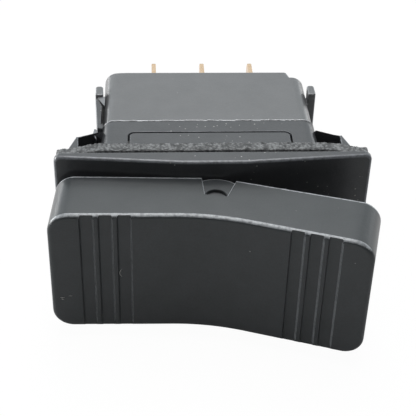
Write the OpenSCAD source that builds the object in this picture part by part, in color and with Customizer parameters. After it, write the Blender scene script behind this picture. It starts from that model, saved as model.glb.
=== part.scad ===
// Panel rocker switch, two poles, in millimetres.
// X runs along the flange, Y runs to the rear of the panel, Z is up.
// The origin is the middle of the flange's rear face.

/* [Flange and panel] */
// Length of the flange
flange_l = 50.4; // [49:0.1:60]
// Height of the flange
flange_w = 27.7; // [25.5:0.1:34]
// Thickness of the flange at its two ends
flange_end_t = 1.05; // [0.8:0.05:1.6]
// Thickness of the flange at its middle pad
flange_pad_t = 2.8; // [2.2:0.05:2.9]
// Corner radius of the flange
flange_r = 1.2; // [0.5:0.1:4]
// Half length of the flange's level middle pad
pad_half = 4.8; // [4:0.1:8]
// Length of the panel cut-out
cutout_l = 44; // [42:0.1:46]
// Height of the panel cut-out
cutout_w = 22; // [21.6:0.1:24]
// Thickness of the foam gasket
gasket_t = 1.6; // [0.8:0.1:2]
// Room between the gasket's outline and the flange's
gasket_inset = 0.4; // [0.1:0.05:1]
// Width of the gasket's rim at its two ends
gasket_rim = 2.3; // [1:0.1:2.5]

/* [Body] */
// Length of the bracket's sleeve
body_l = 36.6; // [35.6:0.1:37.6]
// Height of the bracket's sleeve
body_w = 20.8; // [20:0.1:21.3]
// Corner radius of the sleeve
body_r = 2.3; // [1.4:0.1:3]
// Wall of the sleeve
sleeve_t = 1.2; // [0.9:0.05:1.5]
// Depth of the sleeve behind the flange
sleeve_d = 15; // [14.5:0.1:17]
// Depth of the whole body behind the flange
body_d = 31.8; // [29:0.1:40]
// How far the base lies below the sleeve's surface
base_step = 0.2; // [0.1:0.05:0.5]
// Wall of the base's contact chamber
chamber_t = 1.3; // [0.9:0.05:1.6]
// Thickness of the sealing ring between bracket and base
seal_t = 1.2; // [0.6:0.1:2]
// Thickness of the barrier between the two poles
barrier_t = 0.8; // [0.5:0.05:0.9]
// Reach of the keying step in from the base's end
key_l = 3; // [1:0.1:5]
// Depth of the keying step in the rear face
key_d = 1.7; // [0.5:0.1:3]
// Slope of the keying step, as its run along the switch
key_slope = 0.5; // [0:0.1:1]

/* [Snap wings and latches] */
// Distance from the flange to the catch of a snap wing
wing_front = 4.2; // [3.9:0.1:6]
// Distance from the flange to the rear corner of a snap wing
wing_rear = 10.35; // [9:0.05:11.5]
// How far a relaxed wing stands past the cut-out's edge
wing_catch = 2.4; // [1:0.05:2.6]
// Thickness of a wing's web
wing_web_t = 1.1; // [0.7:0.05:1.5]
// Thickness of a latch arm at its root
arm_t = 0.9; // [0.7:0.05:1.3]
// How far a latch arm leans out and thickens towards its free end
arm_lean = 0.6; // [0:0.05:0.8]
// Width of a latch arm
arm_w = 12.5; // [9:0.1:13.5]
// Distance from the flange to the free end of a latch arm
arm_end = 23.6; // [21:0.1:24]
// Height of the latch arm's upper edge on the left side
arm_top = 9.7; // [8:0.1:9.8]
// Thickness of a base ear behind a latch arm
ear_d = 3; // [2:0.1:4.5]
// Half height of a base ear
ear_top = 10.2; // [9:0.1:10.2]
// Width of the slot round the tongue in each long wall
tongue_slot = 0.35; // [0.3:0.05:0.8]
// Half length of that tongue
tongue_half = 13.4; // [10:0.1:14]
// Distance from the flange to the tongue's end
tongue_end = 11.4; // [8:0.1:12.5]

/* [Actuator] */
// Length of the actuator at its face
act_l = 49.2; // [46:0.1:52]
// Height of the actuator
act_w = 22.2; // [21.4:0.1:23.4]
// Extra length at each end of the skirt
act_flare = 1; // [0.2:0.1:1.6]
// Corner radius of the actuator
act_r = 3.3; // [2:0.1:5]
// Wall of the skirt
act_wall = 1.5; // [1.1:0.05:1.7]
// Thickness of the face
face_t = 2.1; // [1.4:0.05:2.4]
// Distance from the pivot to the middle of the face
face_h = 5.85; // [5.6:0.05:6.8]
// Slope of each half of the face
face_angle = 8.8; // [4:0.1:12]
// Radius that blends the two halves of the face
blend_r = 38; // [10:1:60]
// Distance from the pivot to the middle of the skirt's edge
skirt_h = 4.65; // [4:0.05:4.7]
// Slope of each half of the skirt's edge
skirt_angle = 7.5; // [5:0.1:11]
// Angle that each end of the actuator goes down
tilt = 9.5; // [7:0.1:10]
// Finger grooves in each half of the face
groove_n = 3; // [1:1:3]
// Width of a finger groove
groove_w = 2; // [1:0.05:2.4]
// Spacing of the finger grooves
groove_pitch = 2.82; // [2.6:0.01:3.2]
// Distance from the middle to the first groove's centre
groove_start = 13.05; // [8:0.05:14]
// Depth of a finger groove
groove_d = 0.35; // [0.1:0.05:0.7]
// Depth of the recess round each pivot bore
tab_recess = 0.2; // [0.1:0.05:0.5]
// Half width of the recess at the skirt's edge
tab_half = 3; // [2.6:0.1:4]
// Half width of the recess at the pivot
tab_neck = 1.7; // [1.7:0.05:2.4]

/* [Pivot and rotor] */
// Distance from the flange's rear face to the pivot
pivot_h = 7.75; // [7.7:0.05:9]
// Radius of the pivot pins that carry the actuator
pin_r = 1.65; // [1.2:0.05:1.7]
// Depth of a pin's end below the actuator's side
pin_recess = 0.7; // [0.3:0.05:1.2]
// Radius of the rotor's trunnions
trunnion_r = 1.5; // [1:0.05:1.7]
// Running clearance of each pivot, on the radius
pivot_fit = 0.05; // [0.02:0.01:0.09]
// Thickness of a bracket ear
bracket_ear_t = 2.1; // [1.9:0.05:2.3]
// Radius of the ear and of the rotor's hub
hub_r = 2.7; // [2.4:0.05:2.75]
// Half height of the rotor's hub
hub_half = 6.7; // [6.3:0.05:6.75]
// Half width of the rotor's stem
stem_half = 2.6; // [2.2:0.05:2.8]
// Distance from the pivot to the end of the stem
stem_end = 15; // [13.5:0.1:15.1]

/* [Contacts] */
// Distance of each pole from the middle
pole_z = 3.65; // [3.6:0.01:3.8]
// Radius of a plunger and of its round tip
plunger_r = 1.6; // [1.2:0.05:1.65]
// Distance from the pivot to the tip of a plunger
plunger_tip = 19.45; // [19.1:0.05:19.5]
// Length of a plunger
plunger_l = 8.5; // [7:0.1:10]
// Free travel of a plunger into the rotor
plunger_travel = 0.8; // [0.3:0.1:1]
// Wire of a plunger spring
spring_wire = 0.4; // [0.25:0.05:0.5]
// Turns of a plunger spring
spring_turns = 6; // [4:1:8]
// Length a plunger spring still has in hand at the end of that travel
spring_spare = 1.4; // [0.6:0.1:2.4]
// Angle of the moving contact in its closed position
contact_tilt = 6; // [3:0.1:6.5]
// Distance from the flange to the axis of the moving contact
contact_y = 13; // [12.95:0.05:13.3]
// Thickness of the moving contact
contact_t = 0.8; // [0.4:0.05:0.85]
// Width of the moving contact
contact_w = 5; // [4:0.1:5]
// Distance from the middle to a contact rivet
contact_x = 7.6; // [7.2:0.1:7.7]
// Radius of a contact rivet's head
rivet_r = 1.4; // [1:0.05:1.5]

/* [Terminals] */
// Width of a terminal blade
blade_w = 6.3; // [5:0.1:6.3]
// Thickness of a terminal blade
blade_t = 0.8; // [0.5:0.05:0.8]
// Spacing of the terminals along the switch
terminal_pitch = 9.18; // [8.8:0.01:9.6]
// Length of a blade behind the base
blade_l = 10.4; // [6:0.1:14]
// Distance from the flange to the chamber's floor
floor_y = 15; // [15:0.05:16]

/* [Hidden] */
$fn = 48;

// Fits
slip = 0.05;          // moulded slots round a terminal
plug_fit = 0.1;       // base plug inside the sleeve, each side
panel_clear = 0.3;    // cut-out's edge to the gasket's opening and to the wing's inner side
ear_gap = 0.3;        // latch arm to base ear, window to catch
run_gap = 0.3;        // pieces that pass each other
end_play = 0.15;      // trunnion ends, springs and plungers in their bores
prong_gap = 0.02;     // actuator prongs to the rotor's hub
touch = 0.05;         // spring ends, fulcrum edge and closed contacts
over = 1;             // overlap of a cutting tool past a face
sink = 0.2;           // overlap of two shapes that are one moulding
skin = 0.01;          // thickness of the slices that a tapered block is drawn between

// Body
inner_r = 0.8;        // corner radius of the inner openings
gasket_r = 0.4;       // corner radius of the gasket
base_l = body_l - 2 * base_step;
base_w = body_w - 2 * base_step;
plug_l = body_l - 2 * sleeve_t - 2 * plug_fit;
plug_w = body_w - 2 * sleeve_t - 2 * plug_fit;
plug_r = body_r - sleeve_t / 2;
chamber_l = plug_l - 2 * chamber_t;
chamber_w = plug_w - 2 * chamber_t;
opening_half = 4.9;   // half width of the throat through the flange
throat_half = hub_half + run_gap;
ear_in = throat_half; // inner face of a bracket ear
ear_out = ear_in + bracket_ear_t;
ear_foot_half = pad_half - 0.4;
ear_skin = 0.7;       // ear left behind the rotor's bore
act_in = act_w / 2 - act_wall;
pin_end = act_w / 2 - pin_recess;
bore_floor = ear_out - ear_skin;
barrier_gap = 0.8;    // rotor's stem to the barrier, along Y
barrier_front = stem_end - pivot_h + barrier_gap;

// Snap wings
wing_inner = cutout_l / 2 - panel_clear;
wing_half = body_w / 2 - 0.4;
wing_lead = 0.4;      // thickness of the wing at its rear corner
wing_nose = 0.4;      // rear corner of the wing past the cut-out's edge
wing_x = cutout_l / 2 + wing_nose;
web_root = 1.85;      // web's root behind the wing's rear corner
web_edge = 0.3;       // thickness of the web at the wing's rear corner
web_bevel = 4;        // reach of the bevel on the web's upper and lower sides
wing_root = body_l / 2 - sink;
web_angle = atan(web_root / (wing_x - wing_root));
gusset_in = 0.75;     // inner and outer faces of the gusset, off the sleeve
gusset_out = 1.4;
gusset_front = 10.7;
gusset_bend = 12;
gusset_rear = 13.9;
slot_front = 2.5;     // closed end of the slots beside the tongue
tongue_r = 0.9;       // corner radius of the tongue's slot

// Latch arms and catches
arm_in = body_l / 2 - sink;
arm_out = arm_in + arm_t + arm_lean;
arm_start = 13.6;
arm_low = arm_top - arm_w;
arm_mid = arm_top - arm_w / 2;
arm_hook = 2.6;       // length of the slanted end of a latch arm
arm_nose = 0.2;       // flat left at its tip
window_y = 18.2;
window_l = 3;
window_w = 8;
catch_half = window_l / 2 - sink;
catch_out = arm_in + arm_t;
catch_lip = 0.4;      // level end of the catch behind its ramp
ear_in_x = base_l / 2 + sink;
ear_r = 0.5;          // rounding of the ear's rear corners
ear_front = arm_end + ear_gap;
ear_root_half = base_w / 2 - body_r;

// Actuator
blend_x = blend_r * sin(face_angle);
act_half = act_l / 2;
skirt_half = act_half + act_flare;
tab_r = pivot_h - flange_pad_t - run_gap;
tab_bottom = 0.1;     // lower end of the recess, below the pivot
prong_t = 1.2;
prong_reach = 1.5;    // prongs past the pivot
prong_half = hub_half - 0.4;

// Contacts. The ball of the plunger rolls in a trough of the moving contact, whose curve
// follows the ball's path as the two turn together.
ball_h = plunger_tip - plunger_r;
turn_ratio = contact_tilt / tilt;
ball_back = contact_y + pivot_h - ball_h;
ball_step = ball_h - ball_back * turn_ratio;
path_curve = (ball_h / 2 + ball_h * turn_ratio - ball_back * pow(turn_ratio, 2) / 2)
             / pow(ball_step, 2);
trough_gap = 0.15;
path_r = 1 / (2 * path_curve);
trough_r = path_r + plunger_r + trough_gap;
trough_c = ball_back + path_r;       // centre of the trough, in front of the contact's axis
trough_half = 3.6;
trough_deg = asin(trough_half / trough_r);
trough_edge = trough_c - trough_r * cos(trough_deg);
knee = 0.1;                          // level step between the trough and each arm
arm_margin = 0.6;                    // arm past the rivet's head
arm_half = contact_x + rivet_r + arm_margin;
arm_rear = trough_edge - contact_t;  // distance of the arm's rear face from the axis
rivet_h = 0.6;
rivet_shank_r = 0.75;
rivet_tail_r = 1;
rivet_tail_h = 0.3;
tail_room = 0.2;                     // pocket round the fixed rivet's tail
closed_y = contact_y - (arm_rear - rivet_h) * cos(contact_tilt)
           + (contact_x + rivet_r) * sin(contact_tilt) + touch;
head_front = floor_y - blade_t;
head_margin = 0.5;                   // terminal's head past the rivet's
fulcrum_y = contact_y - (trough_c - trough_r - contact_t) + touch;

// Terminals
blade_end = body_d + blade_l;
blade_lo = pole_z - blade_w / 2;
blade_hi = pole_z + blade_w / 2;
blade_bevel = 0.9;
lock_hole = 0.85;                    // radius of the locking hole
lock_back = 3.6;                     // its distance from the blade's tip
lug_front = fulcrum_y - 1.9;
lug_t = (blade_w - contact_w) / 2 - 0.12;
stop_l = 1.5;                        // side stop that rests on the chamber's floor
stop_h = 0.6;

// Springs
spring_r = plunger_r - end_play - spring_wire / 2;
spring_l = (spring_turns + 1) * spring_wire + plunger_travel + spring_spare;
plunger_front = plunger_tip - plunger_l;
spring_front = plunger_front - spring_l;

// Extrudes an outline drawn in X and Z from y0 towards the rear
module along_y(y0, depth) {
  translate([0, y0 + depth, 0]) rotate([90, 0, 0]) linear_extrude(depth) children();
}

// Extrudes an outline drawn in X and Y between two heights
module along_z(z0, z1) {
  translate([0, 0, z0]) linear_extrude(z1 - z0) children();
}

// Extrudes an outline drawn in Y and Z between two places along X
module along_x(x0, x1) {
  translate([x0, 0, 0]) rotate([90, 0, 90]) linear_extrude(x1 - x0) children();
}

// Rectangle with true round corners, centred
module rounded(l, w, r) {
  square([l - 2 * r, w], center = true);
  square([l, w - 2 * r], center = true);
  for (x = [-1, 1], y = [-1, 1])
    translate([x * (l / 2 - r), y * (w / 2 - r)]) circle(r);
}

// Places children at both ends, the second turned half way round the Y axis
module both_ends() {
  children();
  rotate([0, 180, 0]) children();
}

// Moves children from the pivot's own frame to the rest position, left end down
module in_rocker() {
  translate([0, -pivot_h, 0]) rotate([0, 0, -tilt]) children();
}

// Moves children from the moving contact's own frame to its closed position
module in_contact() {
  translate([0, contact_y, 0]) rotate([0, 0, contact_tilt]) children();
}

// Straight round bar along Y
module bar_y(r, y0, y1) {
  translate([0, y1, 0]) rotate([90, 0, 0]) cylinder(r = r, h = y1 - y0);
}

// ---- Bracket ----

// Gable outline of the flange, thick in the middle and thin at its ends
module flange_outline() {
  polygon([[-flange_l / 2, 0], [flange_l / 2, 0], [flange_l / 2, -flange_end_t],
           [pad_half, -flange_pad_t], [-pad_half, -flange_pad_t],
           [-flange_l / 2, -flange_end_t]]);
}

module flange() {
  intersection() {
    along_z(-flange_w / 2, flange_w / 2) flange_outline();
    along_y(-flange_pad_t - over, flange_pad_t + over) rounded(flange_l, flange_w, flange_r);
  }
}

module sleeve() {
  difference() {
    along_y(0, sleeve_d) rounded(body_l, body_w, body_r);
    along_y(0, sleeve_d + over)
      rounded(body_l - 2 * sleeve_t, body_w - 2 * sleeve_t, plug_r);
    for (s = [0, 1]) mirror([0, 0, s]) along_z(body_w / 2 - sleeve_t - over, body_w / 2 + over)
      tongue_slot_outline();
  }
}

// Slot that frees the tongue on three sides, open towards the flange
module tongue_slot_outline() {
  intersection() {
    difference() {
      rounded(2 * (tongue_half + tongue_slot), 2 * tongue_end, tongue_r + tongue_slot);
      rounded(2 * tongue_half, 2 * (tongue_end - tongue_slot), tongue_r);
    }
    translate([-flange_l / 2, slot_front]) square([flange_l, tongue_end]);
  }
}

// One ear with the outward pin for the actuator and the inward bore for the rotor
module pivot_ear() {
  difference() {
    union() {
      along_z(ear_in, ear_out) {
        translate([0, -pivot_h]) circle(hub_r);
        polygon([[-ear_foot_half, sink - flange_pad_t], [ear_foot_half, sink - flange_pad_t],
                 [hub_r, -pivot_h], [-hub_r, -pivot_h]]);
      }
      translate([0, -pivot_h, ear_out]) cylinder(r = pin_r, h = pin_end - ear_out);
    }
    translate([0, -pivot_h, ear_in - over])
      cylinder(r = trunnion_r + pivot_fit, h = bore_floor - ear_in + over);
  }
}

// Left snap wing: wedge that takes the panel, and the web that carries it
module snap_wing() {
  web_rear = wing_rear + web_edge;
  along_z(-wing_half, wing_half)
    polygon([[-wing_inner, wing_front], [-cutout_l / 2 - wing_catch, wing_front],
             [-wing_x, wing_rear], [-wing_x, web_rear], [wing_lead - wing_x, web_rear],
             [wing_lead - wing_x, wing_rear]]);
  difference() {
    along_z(-wing_half, wing_half)
      polygon([[-wing_x, wing_rear], [-wing_root, wing_rear + web_root],
               [-wing_root, wing_rear + web_root + wing_web_t], [-wing_x, web_rear]]);
    for (s = [0, 1]) mirror([0, 0, s]) translate([-wing_x, wing_rear, wing_half])
      rotate([0, 0, web_angle]) rotate([-45, 0, 0])
        cube([flange_l / 2, web_bevel, web_bevel]);
  }
}

// Left gusset that stiffens the web's root beside the latch arm
module gusset() {
  x = body_l / 2;
  along_z(arm_low, arm_top - sink)
    polygon([[-x - gusset_in, gusset_front], [-x - gusset_out, gusset_bend],
             [sink - x - gusset_out, gusset_rear], [-x - gusset_in, gusset_rear - sink]]);
}

// Left latch arm with the window that takes the base's catch
module latch_arm() {
  root_out = arm_in + arm_t;
  free_in = base_l / 2 + ear_gap;
  difference() {
    along_z(arm_low, arm_top)
      polygon([[-arm_in, arm_start], [-root_out, arm_start + sink], [-arm_out, arm_end],
               [arm_nose - arm_out, arm_end], [-free_in, arm_end - arm_hook],
               [-free_in, sleeve_d], [-arm_in, sleeve_d]]);
    translate([-arm_out - over, window_y - window_l / 2, arm_mid - window_w / 2])
      cube([arm_out, window_l, window_w]);
  }
}

module bracket() {
  color([0.17, 0.17, 0.175]) {
    difference() {
      union() {
        flange();
        sleeve();
      }
      along_y(-flange_pad_t - over, flange_pad_t + 2 * over)
        rounded(2 * opening_half, 2 * throat_half, inner_r);
    }
    for (s = [0, 1]) mirror([0, 0, s]) pivot_ear();
    both_ends() {
      snap_wing();
      gusset();
      latch_arm();
    }
  }
}

module panel_gasket() {
  color([0.2, 0.21, 0.21]) difference() {
    along_y(0, gasket_t)
      rounded(flange_l - 2 * gasket_inset, flange_w - 2 * gasket_inset, gasket_r);
    along_y(-over, gasket_t + 2 * over)
      rounded(flange_l - 2 * (gasket_inset + gasket_rim), cutout_w + 2 * panel_clear, inner_r);
  }
}

// ---- Base ----

module base_seal() {
  color([0.1, 0.1, 0.1]) difference() {
    along_y(0, seal_t) rounded(plug_l, plug_w, plug_r);
    along_y(-over, seal_t + 2 * over) rounded(chamber_l, chamber_w, inner_r);
  }
}

// Ear behind the left latch arm, the slanted rib at its foot and the catch in the arm's window
module base_ear() {
  ear_rear = ear_front + ear_d;
  rib_out = arm_out - arm_nose - ear_gap / 2;
  along_z(-ear_top, ear_top) {
    translate([-arm_out, ear_front]) square([arm_out - ear_in_x, ear_d - ear_r]);
    translate([ear_r - arm_out, ear_front]) square([arm_out - ear_in_x - 2 * ear_r, ear_d]);
    for (x = [ear_r - arm_out, -ear_in_x - ear_r]) translate([x, ear_rear - ear_r]) circle(ear_r);
  }
  along_z(-ear_root_half, ear_root_half)
    translate([-ear_in_x - sink, ear_front]) square([3 * sink, ear_d - ear_r]);
  along_z(arm_low, arm_top)
    polygon([[sink - base_l / 2, arm_end - arm_hook], [-base_l / 2, arm_end - arm_hook + ear_gap],
             [-rib_out, arm_end + ear_gap / 2], [-rib_out, ear_front + sink],
             [sink - base_l / 2, ear_front + sink]]);
  along_z(arm_mid - window_w / 2 + ear_gap, arm_mid + window_w / 2 - ear_gap)
    polygon([[-base_l / 2 + sink, window_y - catch_half], [-base_l / 2, window_y - catch_half],
             [-catch_out, window_y + catch_half - catch_lip], [-catch_out, window_y + catch_half],
             [-base_l / 2 + sink, window_y + catch_half]]);
}

// Outline of the keying step at the right end of the rear face
module key_outline() {
  key_x = base_l / 2 - key_l;
  polygon([[key_x, body_d + over], [key_x, body_d], [key_x + key_slope, body_d - key_d],
           [base_l / 2 + over, body_d - key_d], [base_l / 2 + over, body_d + over]]);
}

module terminal_slots() {
  for (z = [-pole_z, pole_z], i = [-1, 0, 1])
    translate([i * terminal_pitch - blade_t / 2 - slip, floor_y - over, z - blade_w / 2 - slip])
      cube([blade_t + 2 * slip, body_d - floor_y + 2 * over, blade_w + 2 * slip]);
}

module base_housing() {
  color([0.19, 0.19, 0.195]) {
    difference() {
      union() {
        along_y(seal_t, sleeve_d - seal_t + sink) rounded(plug_l, plug_w, plug_r);
        along_y(sleeve_d, body_d - sleeve_d) rounded(base_l, base_w, body_r);
        both_ends() base_ear();
      }
      along_y(seal_t - over, floor_y - seal_t + over) rounded(chamber_l, chamber_w, inner_r);
      terminal_slots();
      for (z = [-pole_z, pole_z], x = [-contact_x, contact_x])
        translate([x, 0, z])
          bar_y(rivet_tail_r + tail_room, floor_y - over, floor_y + rivet_tail_h + tail_room);
      both_ends() along_z(0, base_w) key_outline();
    }
    translate([-chamber_l / 2 - sink, barrier_front, -barrier_t / 2])
      cube([chamber_l + 2 * sink, floor_y - barrier_front + sink, barrier_t]);
  }
}

// ---- Actuator ----

// Rise of the face from its middle, an arc that runs into a straight slope
function rise(x) = abs(x) < blend_x
  ? blend_r - sqrt(pow(blend_r, 2) - pow(x, 2))
  : blend_r * (1 - cos(face_angle)) + (abs(x) - blend_x) * tan(face_angle);
function face_y(x) = -face_h - rise(x);
function skirt_y(x) = skirt_h - abs(x) * tan(skirt_angle);

// Places along the face: both ends and even steps round the blend
face_steps = 8;
face_xs = concat([-act_half - 2 * over],
                 [for (i = [-face_steps : face_steps]) blend_r * sin(face_angle * i / face_steps)],
                 [act_half + 2 * over]);

// Side view of the actuator: face moved in by some depth, skirt down to its own edge
module act_side(depth, drop) {
  end_x = skirt_half + 2 * over;
  polygon(concat([for (x = face_xs) [x, face_y(x) + depth]],
                 [[end_x, skirt_y(end_x) + drop], [0, skirt_h + drop],
                  [-end_x, skirt_y(end_x) + drop]]));
}

// Tapered block with rounded corners that bounds the actuator's ends and sides
module act_block(inset) {
  face_end = face_y(act_half);
  skirt_end = skirt_y(skirt_half);
  draft = act_flare / (skirt_end - face_end);
  hull() for (y = [face_end - over, skirt_h + over])
    along_y(y, skin)
      rounded(2 * (act_half + draft * (y - face_end) - inset), act_w - 2 * inset, act_r - inset,
              $fn = 32);
}

module act_shell() {
  difference() {
    intersection() {
      along_z(-act_w / 2, act_w / 2) act_side(0, 0);
      act_block(0);
    }
    intersection() {
      along_z(-act_in, act_in) act_side(face_t, over);
      act_block(act_wall);
    }
  }
}

// Outline of the recess and notch in the skirt at each pivot bore
module tab_outline() {
  polygon([[-tab_half, skirt_h + over], [tab_half, skirt_h + over],
           [tab_neck, -tab_bottom], [-tab_neck, -tab_bottom]]);
}

module grooves() {
  for (s = [-1, 1], i = [0 : groove_n - 1]) {
    x = s * (groove_start + i * groove_pitch);
    along_z(-act_w / 2 - over, act_w / 2 + over)
      translate([x, face_y(x)]) rotate(-s * face_angle)
        translate([-groove_w / 2, -over]) square([groove_w, groove_d + over]);
  }
}

module actuator() {
  color([0.21, 0.21, 0.215]) in_rocker() {
    difference() {
      act_shell();
      grooves();
      for (s = [0, 1]) mirror([0, 0, s]) {
        along_z(act_w / 2 - tab_recess, act_w / 2 + over) tab_outline();
        along_z(act_in - over, act_w / 2 + over) difference() {
          tab_outline();
          circle(tab_r);
        }
        translate([0, 0, act_in - over])
          cylinder(r = pin_r + pivot_fit, h = act_wall + 2 * over);
      }
    }
    for (s = [-1, 1])
      translate([s * (hub_r + prong_t / 2 + prong_gap) - prong_t / 2, face_t - face_h - sink,
                 -prong_half])
        cube([prong_t, face_h - face_t + sink + prong_reach, 2 * prong_half]);
  }
}

// ---- Rotor, plungers and springs ----

module rotor() {
  color([0.75, 0.73, 0.68]) in_rocker() difference() {
    union() {
      along_z(-hub_half, hub_half) {
        circle(hub_r);
        translate([-hub_r, -face_h + face_t]) square([2 * hub_r, face_h - face_t]);
        translate([-stem_half, 0]) square([2 * stem_half, stem_end]);
      }
      translate([0, 0, end_play - bore_floor])
        cylinder(r = trunnion_r, h = 2 * (bore_floor - end_play));
    }
    for (z = [-pole_z, pole_z]) translate([0, 0, z])
      bar_y(plunger_r + pivot_fit, spring_front - touch, stem_end + over);
  }
}

module plunger(z) {
  color([0.85, 0.84, 0.8]) in_rocker() translate([0, 0, z]) {
    bar_y(plunger_r, plunger_front, ball_h);
    translate([0, ball_h, 0]) sphere(plunger_r);
  }
}

// Compression spring: a round wire swept along a helix, its ends level
module plunger_spring(z) {
  steps = 12;
  sides = 6;
  count = spring_turns * steps;
  length = spring_l - spring_wire - 2 * touch;
  points = [for (i = [0 : count], k = [0 : sides - 1])
    let (a = 360 * i / steps, b = 360 * k / sides,
         r = spring_r + spring_wire / 2 * cos(b))
    [r * cos(a), spring_front + touch + spring_wire / 2 + length * i / count
     + spring_wire / 2 * sin(b), r * sin(a)]];
  walls = [for (i = [0 : count - 1], k = [0 : sides - 1])
    let (j = (k + 1) % sides)
    [i * sides + k, i * sides + j, (i + 1) * sides + j, (i + 1) * sides + k]];
  first_end = [for (k = [sides - 1 : -1 : 0]) k];
  last_end = [for (k = [0 : sides - 1]) count * sides + k];
  color([0.72, 0.72, 0.74]) in_rocker() translate([0, 0, z])
    polyhedron(points, concat(walls, [first_end, last_end]));
}

// ---- Moving contacts ----

// Gull-shaped outline: a trough for the plunger between two straight arms
module contact_outline() {
  steps = 10;
  inner = [for (i = [-steps : steps]) let (a = trough_deg * i / steps)
    [trough_r * sin(a), trough_r * cos(a) - trough_c]];
  outer = [for (i = [steps : -1 : -steps]) let (a = trough_deg * i / steps)
    [(trough_r + contact_t) * sin(a), (trough_r + contact_t) * cos(a) - trough_c]];
  outer_edge = outer[0];
  polygon(concat([[-arm_half, -trough_edge]], inner,
                 [[arm_half, -trough_edge], [arm_half, -arm_rear]],
                 [[outer_edge.x + knee, -arm_rear]], outer,
                 [[-outer_edge.x - knee, -arm_rear], [-arm_half, -arm_rear]]));
}

module moving_contact(z) {
  color([0.78, 0.5, 0.3]) in_contact() difference() {
    along_z(z - contact_w / 2, z + contact_w / 2) contact_outline();
    for (x = [-contact_x, contact_x])
      translate([x, 0, z]) bar_y(rivet_shank_r, -trough_edge - over, -arm_rear + over);
  }
}

// Rivet with its contact head towards the rear, its tail spread on the other side
module contact_rivet(front, rear, head_h, tail_h) {
  bar_y(rivet_shank_r, front - tail_h, rear + head_h);
  bar_y(rivet_tail_r, front - tail_h, front);
  bar_y(rivet_r, rear, rear + head_h);
}

module moving_rivet(x, z) {
  color([0.8, 0.8, 0.82]) in_contact() translate([x, 0, z])
    contact_rivet(-trough_edge, -arm_rear, rivet_h, rivet_tail_h);
}

module fixed_contact(x, z) {
  color([0.8, 0.8, 0.82]) translate([x, 0, z]) mirror([0, 1, 0])
    contact_rivet(-floor_y, -head_front, head_front - closed_y, rivet_tail_h);
}

// ---- Terminals ----

// Blade from the chamber's floor to its bevelled tip, with the usual locking hole
module blade_outline(front) {
  side_end = blade_end - blade_bevel;
  difference() {
    polygon([[front, blade_lo], [side_end, blade_lo], [blade_end, blade_lo + blade_bevel],
             [blade_end, blade_hi - blade_bevel], [side_end, blade_hi], [front, blade_hi]]);
    translate([blade_end - lock_back, pole_z]) circle(lock_hole);
  }
}

module end_terminal(side) {
  x = side * terminal_pitch;
  along_x(x - blade_t / 2, x + blade_t / 2) blade_outline(head_front);
  reach = contact_x - rivet_r - head_margin;
  difference() {
    along_y(head_front, blade_t)
      polygon([[side * reach, blade_lo], [x, blade_lo], [x, blade_hi], [side * reach, blade_hi]]);
    translate([side * contact_x, 0, pole_z]) bar_y(rivet_shank_r, head_front - over, floor_y + over);
  }
}

// Middle terminal: its edge is the fulcrum, and two lugs keep the moving contact in place
module middle_terminal() {
  along_x(-blade_t / 2, blade_t / 2) {
    blade_outline(fulcrum_y);
    for (z = [blade_lo, blade_hi - lug_t]) translate([lug_front, z])
      square([fulcrum_y - lug_front + sink, lug_t]);
    translate([floor_y - stop_l, blade_hi - sink]) square([stop_l, stop_h + sink]);
  }
}

// The lower pole is the upper one's mirror image
module terminal(pole, i) {
  color([0.8, 0.62, 0.36]) mirror([0, 0, pole < 0 ? 1 : 0])
    if (i == 0) middle_terminal();
    else end_terminal(i);
}

bracket();
panel_gasket();
base_housing();
base_seal();
actuator();
rotor();
plunger(pole_z);  // plunger_a
plunger(-pole_z);  // plunger_b
plunger_spring(pole_z);  // plunger_spring_a
plunger_spring(-pole_z);  // plunger_spring_b
moving_contact(pole_z);  // moving_contact_a
moving_contact(-pole_z);  // moving_contact_b
moving_rivet(-contact_x, pole_z);  // moving_rivet_a1
moving_rivet(contact_x, pole_z);  // moving_rivet_a3
moving_rivet(-contact_x, -pole_z);  // moving_rivet_b1
moving_rivet(contact_x, -pole_z);  // moving_rivet_b3
fixed_contact(-contact_x, pole_z);  // fixed_contact_a1
fixed_contact(contact_x, pole_z);  // fixed_contact_a3
fixed_contact(-contact_x, -pole_z);  // fixed_contact_b1
fixed_contact(contact_x, -pole_z);  // fixed_contact_b3
terminal(1, -1);  // terminal_a1
terminal(1, 0);  // terminal_a2
terminal(1, 1);  // terminal_a3
terminal(-1, -1);  // terminal_b1
terminal(-1, 0);  // terminal_b2
terminal(-1, 1);  // terminal_b3
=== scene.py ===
"""Looks of a snap-in panel rocker switch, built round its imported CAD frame.

The frame's own axes: X along the flange, Y to the rear of the panel, Z up. Pieces are worked
out in millimetres and become metres as each mesh is made.
"""

import logging
import math
from dataclasses import dataclass
from enum import Enum
from typing import Callable, Sequence

import bmesh
import bpy
import numpy as np
from mathutils import Matrix, Vector

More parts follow.
